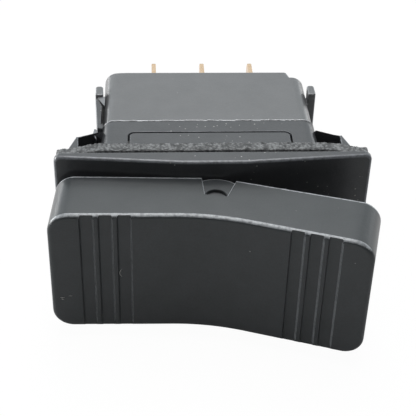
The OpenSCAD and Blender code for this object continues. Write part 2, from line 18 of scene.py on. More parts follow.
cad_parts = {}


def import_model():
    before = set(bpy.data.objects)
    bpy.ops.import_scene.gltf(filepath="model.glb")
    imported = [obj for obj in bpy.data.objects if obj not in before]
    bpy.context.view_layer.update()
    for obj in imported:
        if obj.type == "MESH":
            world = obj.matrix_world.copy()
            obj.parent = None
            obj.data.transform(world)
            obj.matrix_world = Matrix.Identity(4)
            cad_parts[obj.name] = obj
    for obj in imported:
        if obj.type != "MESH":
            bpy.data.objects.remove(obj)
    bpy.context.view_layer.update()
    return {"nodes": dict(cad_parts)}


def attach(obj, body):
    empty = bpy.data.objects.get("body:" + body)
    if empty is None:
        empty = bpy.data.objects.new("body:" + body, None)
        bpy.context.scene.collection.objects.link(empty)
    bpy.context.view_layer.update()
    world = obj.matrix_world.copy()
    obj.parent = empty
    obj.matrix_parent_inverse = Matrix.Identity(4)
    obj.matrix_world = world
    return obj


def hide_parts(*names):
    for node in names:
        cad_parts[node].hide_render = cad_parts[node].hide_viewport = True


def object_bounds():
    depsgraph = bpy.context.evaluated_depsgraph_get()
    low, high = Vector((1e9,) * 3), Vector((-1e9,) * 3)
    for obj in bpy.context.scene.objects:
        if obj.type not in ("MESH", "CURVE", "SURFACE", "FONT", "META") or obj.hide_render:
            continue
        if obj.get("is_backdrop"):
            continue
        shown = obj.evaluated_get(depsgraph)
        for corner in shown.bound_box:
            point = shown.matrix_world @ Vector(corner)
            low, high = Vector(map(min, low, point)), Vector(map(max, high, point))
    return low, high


LOG = logging.getLogger("rocker_switch")
MM = 0.001
EDGE_MARK = "edge"

NEAR = 0.05
"""How near to a place, in millimetres, an edge counts as lying there."""

Colour = tuple[float, float, float]
Place = tuple[float, float, float]
Shape = tuple[np.ndarray, list[list[int]]]


# ---- Shader graphs -------------------------------------------------------------------------


class Socket:
    """One value in a shader graph. Arithmetic on it adds Math nodes."""

    def __init__(self, graph: "Graph", link: bpy.types.NodeSocket) -> None:
        """Keeps the graph and the output socket that carries the value."""
        self.graph = graph
        self.link = link

    def math(self, operation: str, *others: "Socket | float") -> "Socket":
        """Runs a Math node on this value and up to two others."""
        return self.graph.math(operation, self, *others)

    def __add__(self, other: "Socket | float") -> "Socket":
        """Sum."""
        return self.math("ADD", other)

    def __radd__(self, other: float) -> "Socket":
        """Sum with a number on the left."""
        return self.graph.math("ADD", other, self)

    def __sub__(self, other: "Socket | float") -> "Socket":
        """Difference."""
        return self.math("SUBTRACT", other)

    def __rsub__(self, other: float) -> "Socket":
        """Difference from a number on the left."""
        return self.graph.math("SUBTRACT", other, self)

    def __mul__(self, other: "Socket | float") -> "Socket":
        """Product."""
        return self.math("MULTIPLY", other)

    def __rmul__(self, other: float) -> "Socket":
        """Product with a number on the left."""
        return self.graph.math("MULTIPLY", other, self)

    def __gt__(self, other: "Socket | float") -> "Socket":
        """One where this value is the greater, otherwise nought."""
        return self.math("GREATER_THAN", other)

    def __lt__(self, other: "Socket | float") -> "Socket":
        """One where this value is the smaller, otherwise nought."""
        return self.math("LESS_THAN", other)

    def band(self, low: float, high: float) -> "Socket":
        """Smooth step that rises from nought to one.

        Args:
            low: the value at which it starts.
            high: the value at which it ends.

        Returns:
            The step as a new value.
        """
        smooth = {"interpolation_type": "SMOOTHSTEP", "clamp": True}
        ends = {"From Min": low, "From Max": high}
        return self.graph.add("ShaderNodeMapRange", smooth, Value=self, **ends)


Feed = Socket | float | Sequence[float]


class Graph:
    """The node tree of a material or a world, with short calls for its nodes."""

    def __init__(self, owner: bpy.types.Material | bpy.types.World) -> None:
        """Empties the owner's node tree.

        Args:
            owner: the material or world to build.
        """
        owner.use_nodes = True
        self.owner = owner
        self.tree = owner.node_tree
        self.tree.nodes.clear()

    def node(self, kind: str, settings: dict | None = None, **sockets: Feed) -> bpy.types.Node:
        """Adds a node.

        Args:
            kind: the node's type.
            settings: its properties, set before its sockets.
            sockets: values or links for its inputs, by name; _0, _1 give an input by place.

        Returns:
            The new node.
        """
        node = self.tree.nodes.new(kind)
        for key, value in (settings or {}).items():
            setattr(node, key, value)
        for key, value in sockets.items():
            place = node.inputs[int(key[1:])] if key.startswith("_") else node.inputs[key]
            self.feed(place, value)
        return node

    def add(self, kind: str, settings: dict | None = None, output: str | int = 0,
            **sockets: Feed) -> Socket:
        """Adds a node as node() does, and gives one of its outputs."""
        return Socket(self, self.node(kind, settings, **sockets).outputs[output])

    def feed(self, place: bpy.types.NodeSocket, value: Feed) -> None:
        """Links a value to an input, or sets it there where it is a constant.

        Args:
            place: the input.
            value: a socket, a number, or a colour or vector, whose missing parts become one.
        """
        if isinstance(value, Socket):
            self.tree.links.new(value.link, place)
        elif isinstance(value, (int, float)):
            place.default_value = value
        else:
            value = tuple(value)
            size = len(place.default_value)
            place.default_value = value + (1,) * (size - len(value))

    def math(self, operation: str, *values: "Socket | float") -> Socket:
        """Adds a Math node on two or three values."""
        fed = {f"_{i}": value for i, value in enumerate(values)}
        return self.add("ShaderNodeMath", {"operation": operation}, **fed)

    def place(self) -> Socket:
        """Object coordinates, the same in every pose and view."""
        return self.add("ShaderNodeTexCoord", output="Object")

    def stretched(self, scale: Sequence[float]) -> Socket:
        """Object coordinates scaled along each axis."""
        return self.add("ShaderNodeMapping", Vector=self.place(), Scale=scale)

    def noise(self, scale: float, detail: float = 2, rough: float = 0.5,
              where: Socket | None = None) -> Socket:
        """Noise between nought and one; scale counts features per metre."""
        return self.add("ShaderNodeTexNoise", None, "Fac", Vector=where or self.place(),
                        Scale=scale, Detail=detail, Roughness=rough)

    def cells(self, scale: float) -> Socket:
        """Distance to the nearest of scattered points; scale counts points per metre."""
        return self.add("ShaderNodeTexVoronoi", {"feature": "F1"}, "Distance",
                        Vector=self.place(), Scale=scale)

    def wear_and_highlight(self, start: float = 0.7, full: float = 1.6) -> Socket:
        """Share of edge wear and painted highlight, from edge marks, in one over millimetres."""
        mark = self.add("ShaderNodeAttribute", {"attribute_name": EDGE_MARK}, "Fac")
        return mark.band(start, full)

    def mix(self, share: Feed, low: Feed, high: Feed) -> Socket:
        """Colour between two colours. Inputs 6 and 7 and output 2 are the node's colours."""
        return self.add("ShaderNodeMix", {"data_type": "RGBA"}, 2, _0=share, _6=low, _7=high)

    def bump(self, height: Socket, strength: float, depth: float,
             over: Socket | None = None) -> Socket:
        """Normal bent by a height map.

        Args:
            height: the map, between nought and one.
            strength: the share of it that counts.
            depth: its full height in metres.
            over: a bent normal that this one adds to.

        Returns:
            The bent normal.
        """
        chain = {"Normal": over} if over else {}
        return self.add("ShaderNodeBump", None, "Normal", Height=height, Strength=strength,
                        Distance=depth, **chain)

    def principled(self, **sockets: Feed) -> bpy.types.Material:
        """Closes the material with a Principled shader; _ stands for a space in a name."""
        named = {key.replace("_", " "): value for key, value in sockets.items()}
        return self.close(self.add("ShaderNodeBsdfPrincipled", None, "BSDF", **named))

    def close(self, shader: Socket) -> bpy.types.Material | bpy.types.World:
        """Links a shader to the owner's output.

        Args:
            shader: the closing shader.

        Returns:
            The material or world that owns the tree.
        """
        kind = "World" if isinstance(self.owner, bpy.types.World) else "Material"
        self.node(f"ShaderNodeOutput{kind}", Surface=shader)
        return self.owner


# ---- Finishes ------------------------------------------------------------------------------


@dataclass(frozen=True)
class MouldedPlastic:
    """Satin black moulding: spark-eroded grain, flow marks, dust, and paler edges that are
    partly burnished wear and partly a painted highlight.

    Grain, flow, ripple, edge_patch and the dust's cell, patch and fray count features per metre.
    """

    name: str
    colour: Colour
    edge_colour: Colour
    roughness: float = 0.3
    gloss: float = 0.5
    grain: float = 3600
    grain_depth: float = 0.02 * MM
    grain_rough: float = 0.04
    flow: float = 260
    flow_rough: float = 0.08
    ripple: float = 900
    mottle: float = 0.3
    edge_patch: float = 1500
    edge_share: float = 0.8
    edge_even: float = 0.45
    edge_polish: float = 0.06
    dust: float = 0.5
    dust_share: float = 0.56
    dust_cell: float = 420
    dust_size: float = 0.075
    dust_patch: float = 60
    dust_fray: float = 2600
    dust_rough: float = 0.1
    dust_colour: Colour = (0.42, 0.41, 0.39)

    def material(self) -> bpy.types.Material:
        """Builds the finish.

        Returns:
            Its material: a mottled colour, paler on edges as burnished wear and painted highlight,
            with specks of dust over both.
        """
        g = Graph(bpy.data.materials.new(self.name))
        fine = g.noise(self.grain, 3, 0.6)
        flow = g.noise(self.flow, 4, 0.6)
        shade = 1 + (fine - 0.5) * self.mottle + (flow - 0.5) * self.mottle
        base = g.add("ShaderNodeVectorMath", {"operation": "SCALE"},
                     _0=self.colour, Scale=shade)
        # Edges get paler, partly as burnished wear and partly as a painted highlight, patchy by
        # noise.
        patchy = g.noise(self.edge_patch, 3, 0.6).band(0.3, 0.62)
        evenly = self.edge_even + (1 - self.edge_even) * patchy
        edge_wear_and_highlight = g.wear_and_highlight() * self.edge_share * evenly
        base = g.mix(edge_wear_and_highlight, base, self.edge_colour)
        speck = g.cells(self.dust_cell)
        sparse = g.noise(self.dust_patch, 1) > self.dust_share
        fray = g.noise(self.dust_fray, 2)
        mask = (speck + fray * 0.06 < self.dust_size) * sparse * self.dust
        settled = g.mix(mask, base, self.dust_colour)
        rough = (self.roughness + (fine - 0.5) * self.grain_rough
                 + (flow - 0.5) * self.flow_rough + mask * self.dust_rough)
        bump = g.bump(fine, 0.6, self.grain_depth)
        bump = g.bump(g.noise(self.ripple, 2), 0.35, self.grain_depth * 2, bump)
        return g.principled(Base_Color=settled, Roughness=rough - edge_wear_and_highlight * self.edge_polish,
                            Normal=bump, Specular_IOR_Level=self.gloss)


@dataclass(frozen=True)
class CellFoam:
    """Foam cut on its edge: closed cells with painted shade in their hollows, and white flecks.

    Cells, patches and flecks count features per metre; small_ratio is of the large cells.
    """

    name: str
    wall: Colour
    pit_shade: Colour
    cell: float = 1900
    small_ratio: float = 2.3
    patch: float = 665
    patch_tone: float = 1.4
    depth: float = 0.12 * MM
    fleck: Colour = (0.75, 0.75, 0.73)
    fleck_cell: float = 520
    fleck_size: float = 0.12
    fleck_share: float = 0.58

    def material(self) -> bpy.types.Material:
        """Builds the finish.

        Returns:
            Its material, whose cells shape the colour, the roughness and the bump alike; the
            colour is darker in the low parts, as painted shade.
        """
        g = Graph(bpy.data.materials.new(self.name))
        large = g.cells(self.cell)
        small = g.cells(self.cell * self.small_ratio)
        patch = g.noise(self.patch, 3, 0.6)
        height = large * 0.8 + small * 0.3
        # Painted shade: darker where the cell height map is low, with random patches over it.
        tone = (1.15 - height + (patch - 0.5) * self.patch_tone).band(0.3, 0.95)
        speck = g.cells(self.fleck_cell) + g.noise(3000, 2) * 0.1 < self.fleck_size
        fleck = speck * (g.noise(45, 1) > self.fleck_share)
        colour = g.mix(fleck, g.mix(tone, self.pit_shade, self.wall), self.fleck)
        bump = g.bump(1 - height, 0.9, self.depth)
        return g.principled(Base_Color=colour, Roughness=0.9 - 0.25 * tone, Normal=bump,
                            Specular_IOR_Level=0.3)


@dataclass(frozen=True)
class Rubber:
    """Matt black rubber with a talc bloom."""

    name: str
    colour: Colour
    talc: Colour = (0.12, 0.12, 0.118)
    bloom: float = 700
    grain: float = 4000
    grain_depth: float = 0.03 * MM

    def material(self) -> bpy.types.Material:
        """Builds the finish.

        Returns:
            Its material, rougher and paler where the talc lies.
        """
        g = Graph(bpy.data.materials.new(self.name))
        bloom = g.noise(self.bloom, 5, 0.65)
        colour = g.mix(bloom.band(0.4, 0.8) * 0.3, self.colour, self.talc)
        bump = g.bump(g.noise(self.grain, 2), 0.4, self.grain_depth)
        return g.principled(Base_Color=colour, Roughness=0.75 + 0.15 * bloom, Normal=bump,
                            Specular_IOR_Level=0.35)


@dataclass(frozen=True)
class NaturalNylon:
    """Uncoloured engineering plastic, slightly see-through, with gate blush."""

    name: str
    colour: Colour
    shade: Colour
    blush: float = 240
    grain: float = 4200
    grain_depth: float = 0.015 * MM
    scatter: float = 0.4 * MM

    def material(self) -> bpy.types.Material:
        """Builds the finish.

        Returns:
            Its material, with a constant share of light scattered below the surface.
        """
        g = Graph(bpy.data.materials.new(self.name))
        blush = g.noise(self.blush, 4, 0.55)
        fine = g.noise(self.grain, 2)
        colour = g.mix(blush.band(0.35, 0.75), self.colour, self.shade)
        bump = g.bump(fine, 0.4, self.grain_depth)
        return g.principled(Base_Color=colour, Roughness=0.38 + 0.12 * fine, Normal=bump,
                            Subsurface_Weight=0.15, Subsurface_Radius=(1.2, 1.0, 0.7),
                            Subsurface_Scale=self.scatter)


@dataclass(frozen=True)
class StampedMetal:
    """Rolled and stamped metal: rolling lines along Y, tarnish in patches, small nicks."""

    name: str
    colour: Colour
    tarnish: Colour
    roughness: float = 0.28
    lines: float = 5200
    line_depth: float = 0.008 * MM
    patch: float = 0.5
    patch_cell: float = 420
    nick: float = 3000
    nick_depth: float = 0.01 * MM

    def material(self) -> bpy.types.Material:
        """Builds the finish.

        Returns:
            Its material, duller and rougher where it has tarnished.
        """
        g = Graph(bpy.data.materials.new(self.name))
        rolled = g.noise(self.lines, 3, 0.7, g.stretched((1, 0.05, 1)))
        spots = g.noise(self.patch_cell, 5, 0.65)
        nicks = g.noise(self.nick, 2)
        share = spots.band(0.42, 0.72) * self.patch
        colour = g.mix(share, self.colour, self.tarnish)
        rough = self.roughness + (rolled - 0.5) * 0.2 + share * 0.3
        bump = g.bump(rolled, 0.5, self.line_depth)
        bump = g.bump(nicks, 0.2, self.nick_depth, bump)
        return g.principled(Base_Color=colour, Metallic=1.0, Roughness=rough, Normal=bump)


class Finish(Enum):
    """The finishes of the switch, by the part they are for."""

    # Each MouldedPlastic's second colour is its paler edge: partly burnished wear, partly a
    # painted highlight.
    BRACKET = MouldedPlastic("satin_bracket", (0.058, 0.06, 0.064), (0.24, 0.25, 0.27),
                             gloss=0.52, mottle=0.45, dust_cell=900, dust_size=0.14,
                             roughness=0.34, dust=0.7, dust_share=0.5)
    BASE = MouldedPlastic("satin_base", (0.12, 0.121, 0.124), (0.34, 0.35, 0.37), gloss=0.8,
                          roughness=0.3, mottle=0.3, edge_share=0.5, dust=0.3, dust_share=0.6)
    ACTUATOR = MouldedPlastic("satin_actuator", (0.044, 0.048, 0.051), (0.46, 0.48, 0.5),
                              roughness=0.33, mottle=0.45, edge_share=0.9)
    # The flash bead's pale colour is a painted highlight along the sleeve's rim.
    FLASH = MouldedPlastic("pale_flash", (0.4, 0.405, 0.415), (0.7, 0.7, 0.72), gloss=0.9,
                           roughness=0.2, mottle=0.9, dust=0.0)
    LINT = MouldedPlastic("lint_fibre", (0.6, 0.59, 0.56), (0.7, 0.69, 0.66), gloss=0.3,
                          roughness=0.6, dust=0.0)
    FOAM = CellFoam("foam_cut", (0.235, 0.24, 0.243), (0.1, 0.102, 0.104))
    SEAL = Rubber("rubber_seal", (0.02, 0.02, 0.021))
    ROTOR = NaturalNylon("moulded_nylon", (0.66, 0.63, 0.55), (0.58, 0.54, 0.45))
    PLUNGER = NaturalNylon("moulded_acetal", (0.76, 0.75, 0.71), (0.68, 0.66, 0.6))
    SPRING = StampedMetal("wire_steel", (0.55, 0.55, 0.56), (0.33, 0.32, 0.31), patch=0.3)
    COPPER = StampedMetal("strip_copper", (0.72, 0.4, 0.24), (0.32, 0.17, 0.1))
    SILVER = StampedMetal("alloy_silver", (0.8, 0.79, 0.76), (0.45, 0.42, 0.37),
                          roughness=0.22, patch=0.35)
    BRASS = StampedMetal("strip_brass", (0.68, 0.5, 0.34), (0.34, 0.22, 0.13), patch=0.6)

    def built(self) -> bpy.types.Material:
        """The finish's material, made once."""
        found = bpy.data.materials.get(self.value.name)
        return found or self.value.material()


def dress(piece: bpy.types.Object, finish: Finish) -> None:
    """Gives a piece one finish in place of its material slots."""
    piece.data.materials.clear()
    piece.data.materials.append(finish.built())


# ---- Mesh tools ----------------------------------------------------------------------------


def smooth(t: np.ndarray) -> np.ndarray:
    """Smooth step: 3 t^2 - 2 t^3, with t kept between nought and one."""
    t = np.clip(t, 0, 1)
    return t * t * (3 - 2 * t)


def quads(grid: np.ndarray, close_rows: bool = False, close_columns: bool = False,
          flip: bool = False) -> np.ndarray:
    """Four-sided faces between the neighbours of a grid of point numbers.

    A face runs (i, j), (i, j+1), (i+1, j+1), (i+1, j), or the other way round if flipped.

    Args:
        grid: point numbers, rows by columns.
        close_rows: joins the last row to the first.
        close_columns: joins the last column to the first.
        flip: turns the faces over.

    Returns:
        An array of faces by four corners, row by row.
    """
    if close_rows:
        grid = np.concatenate([grid, grid[:1]])
    if close_columns:
        grid = np.concatenate([grid, grid[:, :1]], axis=1)
    first, across, far, down = grid[:-1, :-1], grid[:-1, 1:], grid[1:, 1:], grid[1:, :-1]
    corners = [first, down, far, across] if flip else [first, across, far, down]
    return np.stack(corners, axis=-1).reshape(-1, 4)


def prism(levels: Sequence[tuple[np.ndarray, float]]) -> Shape:
    """Closed solid through outlines stacked along Z.

    Args:
        levels: outlines in X and Y, turning right round when seen from +Z, with their heights.

    Returns:
        Its points, and faces that look outwards: the walls level by level, then the two ends.
    """
    count = len(levels[0][0])
    points = np.concatenate([np.column_stack([o, np.full(count, z)]) for o, z in levels])
    loops = np.arange(len(points)).reshape(len(levels), count)
    walls = quads(loops, close_columns=True, flip=True)
    return points, [*walls.tolist(), loops[0].tolist(), loops[-1][::-1].tolist()]


def read(items: bpy.types.bpy_prop_collection, name: str, width: int = 1,
         kind: type = float) -> np.ndarray:
    """Reads one property of every item of a mesh.

    Args:
        items: the mesh's faces, edges, corners or points.
        name: the property.
        width: how many numbers it holds.
        kind: float, or int for whole numbers.

    Returns:
        One number, or one row of numbers, for each item.
    """
    found = np.empty(len(items) * width, kind)
    items.foreach_get(name, found)
    return found.reshape(-1, width) if width > 1 else found


def keep_marks(mesh: bpy.types.Mesh, marks: np.ndarray) -> None:
    """Stores a number for each face as the mesh's edge marks."""
    mesh.attributes.new(EDGE_MARK, "FLOAT", "FACE").data.foreach_set("value", marks)


def linked(name: str, mesh: bpy.types.Mesh) -> bpy.types.Object:
    """Makes an object of a mesh and links it to the scene.

    Args:
        name: the object's name.
        mesh: its mesh.

    Returns:
        The object.
    """
    piece = bpy.data.objects.new(name, mesh)
    bpy.context.scene.collection.objects.link(piece)
    return piece


def mesh_object(name: str, points: np.ndarray, faces: Sequence[Sequence[int]]
                ) -> bpy.types.Object:
    """Makes an object from points and faces.

    Args:
        name: the piece's name.
        points: an n by 3 array in metres.
        faces: corner numbers of each face, turning left round when seen from outside.

    Returns:
        The new object, linked to the scene.
    """
    mesh = bpy.data.meshes.new(name)
    mesh.from_pydata(points.tolist(), [], faces)
    mesh.validate()
    return linked(name, mesh)


def reworked(piece: bpy.types.Object, work: Callable[[bmesh.types.BMesh], None]) -> None:
    """Runs an edit on a piece's mesh through bmesh.

    Args:
        piece: the object to work on.
        work: changes the bmesh in place.
    """
    edit = bmesh.new()
    edit.from_mesh(piece.data)
    work(edit)
    edit.to_mesh(piece.data)
    edit.free()
    piece.data.update()


def copy_of(node: bpy.types.Object, name: str, near: float = 0.002 * MM,
            flatness: float = 0.5) -> bpy.types.Object:
    """Copies a CAD node as one joined mesh with flat faces merged.

    Args:
        node: the CAD node, which stays as it is.
        name: the copy's name.
        near: points closer than this become one, in metres.
        flatness: faces that turn by less than this are merged, in degrees.

    Returns:
        The copy, linked to the scene.
    """
    mesh = node.data.copy()
    mesh.name = name
    piece = linked(name, mesh)

    def merge(edit: bmesh.types.BMesh) -> None:
        """Joins the loose triangles and merges those that lie flat.

        Args:
            edit: the mesh to change.
        """
        bmesh.ops.remove_doubles(edit, verts=edit.verts, dist=near)
        bmesh.ops.dissolve_limit(edit, angle_limit=math.radians(flatness),
                                 use_dissolve_boundaries=False, verts=edit.verts,
                                 edges=edit.edges, delimit=set())

    reworked(piece, merge)
    return piece


def settle(piece: bpy.types.Object) -> None:
    """Turns a piece's modifiers into its own mesh.

    Args:
        piece: the object to work on.
    """
    graph = bpy.context.evaluated_depsgraph_get()
    graph.update()
    made = bpy.data.meshes.new_from_object(piece.evaluated_get(graph))
    piece.modifiers.clear()
    old = piece.data
    piece.data = made
    bpy.data.meshes.remove(old)


def eased(piece: bpy.types.Object, radius: Callable[[Vector, Vector], float],
          segments: int = 3, sharper: float = 30) -> None:
    """Rounds the sharp convex edges of a piece, each by its own radius.

    An edge's bevel weight is its radius in millimetres, and the bevel is 1 mm wide.

    Args:
        piece: the object to work on.
        radius: takes an edge's two ends in millimetres and gives its radius there, 0 for none.
        segments: faces round the edge.
        sharper: least angle between the faces, in degrees.
    """
    least = math.radians(sharper)

    def weigh(edit: bmesh.types.BMesh) -> None:
        """Weighs each sharp convex edge by its radius.

        Args:
            edit: the mesh to change.
        """
        layer = edit.edges.layers.float.new("bevel_weight_edge")
        for edge in edit.edges:
            if len(edge.link_faces) == 2 and edge.is_convex and edge.calc_face_angle() > least:
                edge[layer] = radius(edge.verts[0].co / MM, edge.verts[1].co / MM)

    reworked(piece, weigh)
    bevel = piece.modifiers.new("edges", "BEVEL")
    bevel.limit_method = "WEIGHT"
    bevel.width = 1 * MM
    bevel.segments = segments
    bevel.use_clamp_overlap = False
    settle(piece)


def carve(piece: bpy.types.Object, tools: Sequence[bpy.types.Object]) -> None:
    """Cuts closed tools out of a piece exactly, then removes the tools.

    Args:
        piece: the object to cut.
        tools: the cutters, in the order in which they cut.
    """
    for tool in tools:
        cut = piece.modifiers.new("cut", "BOOLEAN")
        cut.operation = "DIFFERENCE"
        cut.solver = "EXACT"
        cut.object = tool
    settle(piece)
    for tool in tools:
        bpy.data.meshes.remove(tool.data)


def join(piece: bpy.types.Object, other: bpy.types.Object) -> None:
    """Adds another object's mesh to a piece and removes that object."""
    reworked(piece, lambda edit: edit.from_mesh(other.data))
    bpy.data.meshes.remove(other.data)


def mark_edges(piece: bpy.types.Object, widest: float = 0.6 * MM) -> None:
    """Stores how sharply a mesh turns outwards at each face, as its edge marks.

    For an edge between faces with normals n1 and n2 and centres c1 and c2, the curvature is
    the angle between n1 and n2 over |c2 - c1|, and counts where (c2 - c1) . n1 < 0. A face
    keeps the greatest of its edges, as one over millimetres. Only narrow faces count, by
    twice the area over the perimeter.

    Args:
        piece: the object to mark.
        widest: greatest width of a face that counts, in metres.
    """
    mesh = piece.data
    faces = len(mesh.polygons)
    centre, normal = read(mesh.polygons, "center", 3), read(mesh.polygons, "normal", 3)
    corner_edge = read(mesh.loops, "edge_index", kind=int)
    owner = np.repeat(np.arange(faces), read(mesh.polygons, "loop_total", kind=int))
    order = np.argsort(corner_edge, kind="stable")
    corner_edge, owner = corner_edge[order], owner[order]
    pair = np.flatnonzero(corner_edge[1:] == corner_edge[:-1])
    first, second = owner[pair], owner[pair + 1]
    gap = centre[second] - centre[first]
    turn = np.arccos(np.clip((normal[first] * normal[second]).sum(1), -1, 1))
    outward = (gap * normal[first]).sum(1) < 0
    bent = np.where(outward, turn * MM / np.maximum(np.linalg.norm(gap, axis=1), 1e-7), 0)
    worth = np.zeros(faces)
    np.maximum.at(worth, first, bent)
    np.maximum.at(worth, second, bent)
    spots = read(mesh.vertices, "co", 3)
    side = np.diff(spots[read(mesh.edges, "vertices", 2, int)], axis=1)[:, 0]
    perimeter = np.bincount(owner, np.linalg.norm(side, axis=1)[corner_edge], faces)
    worth[2 * read(mesh.polygons, "area") / np.maximum(perimeter, 1e-9) > widest] = 0
    keep_marks(mesh, worth)


def shaded(piece: bpy.types.Object, sharp: float) -> None:
    """Shades a piece smooth but for its sharp edges, with flat faces kept flat.

    Args:
        piece: the object to shade; it gets its edge marks here unless it has them.
        sharp: least angle of an edge that stays sharp, in degrees.
    """
    if EDGE_MARK not in piece.data.attributes:
        mark_edges(piece)
    piece.data.shade_smooth()
    piece.data.set_sharp_from_angle(angle=math.radians(sharp))
    weigh = piece.modifiers.new("flats", "WEIGHTED_NORMAL")
    weigh.keep_sharp = True
    weigh.weight = 100


# ---- Studio --------------------------------------------------------------------------------


@dataclass(frozen=True)
class Softbox:
    """A soft rectangular lamp that faces the part, in metres and watts."""

    name: str
    spot: Place
    width: float
    height: float
    power: float

    def hang(self) -> None:
        """Links the lamp to the scene, turned to the origin."""
        data = bpy.data.lights.new(self.name, "AREA")
        data.shape = "RECTANGLE"
        data.size = self.width
        data.size_y = self.height
        data.energy = self.power
        holder = bpy.data.objects.new(self.name, data)
        where = Vector(self.spot)
        holder.location = where
        holder.rotation_euler = where.to_track_quat("Z", "Y").to_euler()
        bpy.context.scene.collection.objects.link(holder)


@dataclass(frozen=True)
class Studio:
    """White sweep, soft lamps and the camera; aim and distance are in millimetres.

    Glossy rays see a white floor behind the part and its grey paint in front of it, with a
    smooth change from white_from to white_past along Y, in metres.
    """

    aim: Place = (-0.57, 1.38, 1.81)
    turn: float = -3.86
    drop: float = -36.56
    roll: float = -1.77
    distance: float = 179.76
    lens: float = 93.99
    floor_size: float = 4.0
    floor_paint: float = 0.58
    white_from: float = -0.01
    white_past: float = 0.02
    shadow_share: float = 0.06
    room_dark: float = 0.03
    room_tint: Colour = (0.9, 0.97, 1.0)
    lamps: tuple[Softbox, ...] = (
        Softbox("top_softbox", (0.0, 0.12, 0.66), 0.26, 0.85, 3.9),
        Softbox("left_softbox", (-0.6, 0.16, 0.05), 0.5, 0.2, 3.8),
        Softbox("rear_left_strip", (-0.55, 0.62, 0.05), 0.3, 0.1, 0.5),
        Softbox("rear_right_strip", (0.55, 0.66, 0.05), 0.3, 0.1, 0.25),
    )

    def camera(self) -> None:
        """Places the camera at its distance from its aim, turned, dropped, then rolled."""
        data = bpy.data.cameras.new("camera")
        data.lens = self.lens
        data.sensor_width = 36
        data.clip_start = 0.01
        eye = bpy.data.objects.new("camera", data)
        turned = (Matrix.Rotation(math.radians(self.turn), 4, "Z")
                  @ Matrix.Rotation(math.radians(self.drop), 4, "X")
                  @ Matrix.Rotation(math.radians(self.roll), 4, "Y"))
        ahead = turned @ Vector((0, 1, 0))
        upright = turned @ Matrix.Rotation(math.radians(90), 4, "X")
        place = Vector(self.aim) * MM - ahead * (self.distance * MM)
        eye.matrix_world = Matrix.Translation(place) @ upright
        bpy.context.scene.collection.objects.link(eye)
        bpy.context.scene.camera = eye

    def white(self) -> bpy.types.Material:
        """Makes the floor's matt paint, which reads as white but for a share of its shadow.

        Returns:
            A material that glows white to camera and transmission rays, and to glossy rays
            behind the part.
        """
        g = Graph(bpy.data.materials.new("sweep_white"))
        eye, through, shiny = (g.add("ShaderNodeLightPath", output=f"Is {kind} Ray")
                               for kind in ("Camera", "Transmission", "Glossy"))
        along = g.add("ShaderNodeSeparateXYZ", output="Y", Vector=g.place())
        behind = along.band(self.white_from, self.white_past)
        seen = eye.math("MAXIMUM", through).math("MAXIMUM", shiny * behind)
        seen = seen * (1 - self.shadow_share)
        paint = g.add("ShaderNodeBsdfDiffuse", Color=(self.floor_paint,) * 3)
        glow = g.add("ShaderNodeEmission", Color=(1, 1, 1), Strength=1 + self.shadow_share / 2)
        return g.close(g.add("ShaderNodeMixShader", _0=seen, _1=paint, _2=glow))

    def sweep(self, low: float) -> None:
        """Lays the floor just under the part.

        Args:
            low: the floor's height in metres.
        """
        half = self.floor_size / 2
        corners = np.array([(-half, -half, low), (half, -half, low), (half, half, low),
                            (-half, half, low)])
        floor = mesh_object("floor", corners, [(0, 1, 2, 3)])
        floor.data.materials.append(self.white())
        floor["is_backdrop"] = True

    def world(self) -> None:
        """Makes the world: white to the eye, and to light the part a dim room, paler behind
        and low down."""
        world = bpy.data.worlds.new("studio")
        bpy.context.scene.world = world
        g = Graph(world)
        eye, through = (g.add("ShaderNodeLightPath", output=f"Is {kind} Ray")
                        for kind in ("Camera", "Transmission"))
        ray = g.add("ShaderNodeTexCoord", output="Generated")
        back, up = (g.add("ShaderNodeSeparateXYZ", output=axis, Vector=ray) for axis in "YZ")
        room = self.room_dark + (1 - self.room_dark) * (
            back.band(-0.25, 0.4) * (1 - up.band(0.72, 0.95)))
        dim = g.add("ShaderNodeBackground", Color=self.room_tint, Strength=room)
        plain = g.add("ShaderNodeBackground", Color=(1, 1, 1), Strength=1.0)
        seen = eye.math("MAXIMUM", through)
        g.close(g.add("ShaderNodeMixShader", _0=seen, _1=dim, _2=plain))

    def build(self, low: float) -> None:
        """Sets the whole studio up.

        Args:
            low: the floor's height in metres.
        """
        bpy.context.scene.view_settings.view_transform = "Standard"
        self.world()
        self.sweep(low)
        for lamp in self.lamps:
            lamp.hang()
        self.camera()


# ---- Actuator ------------------------------------------------------------------------------


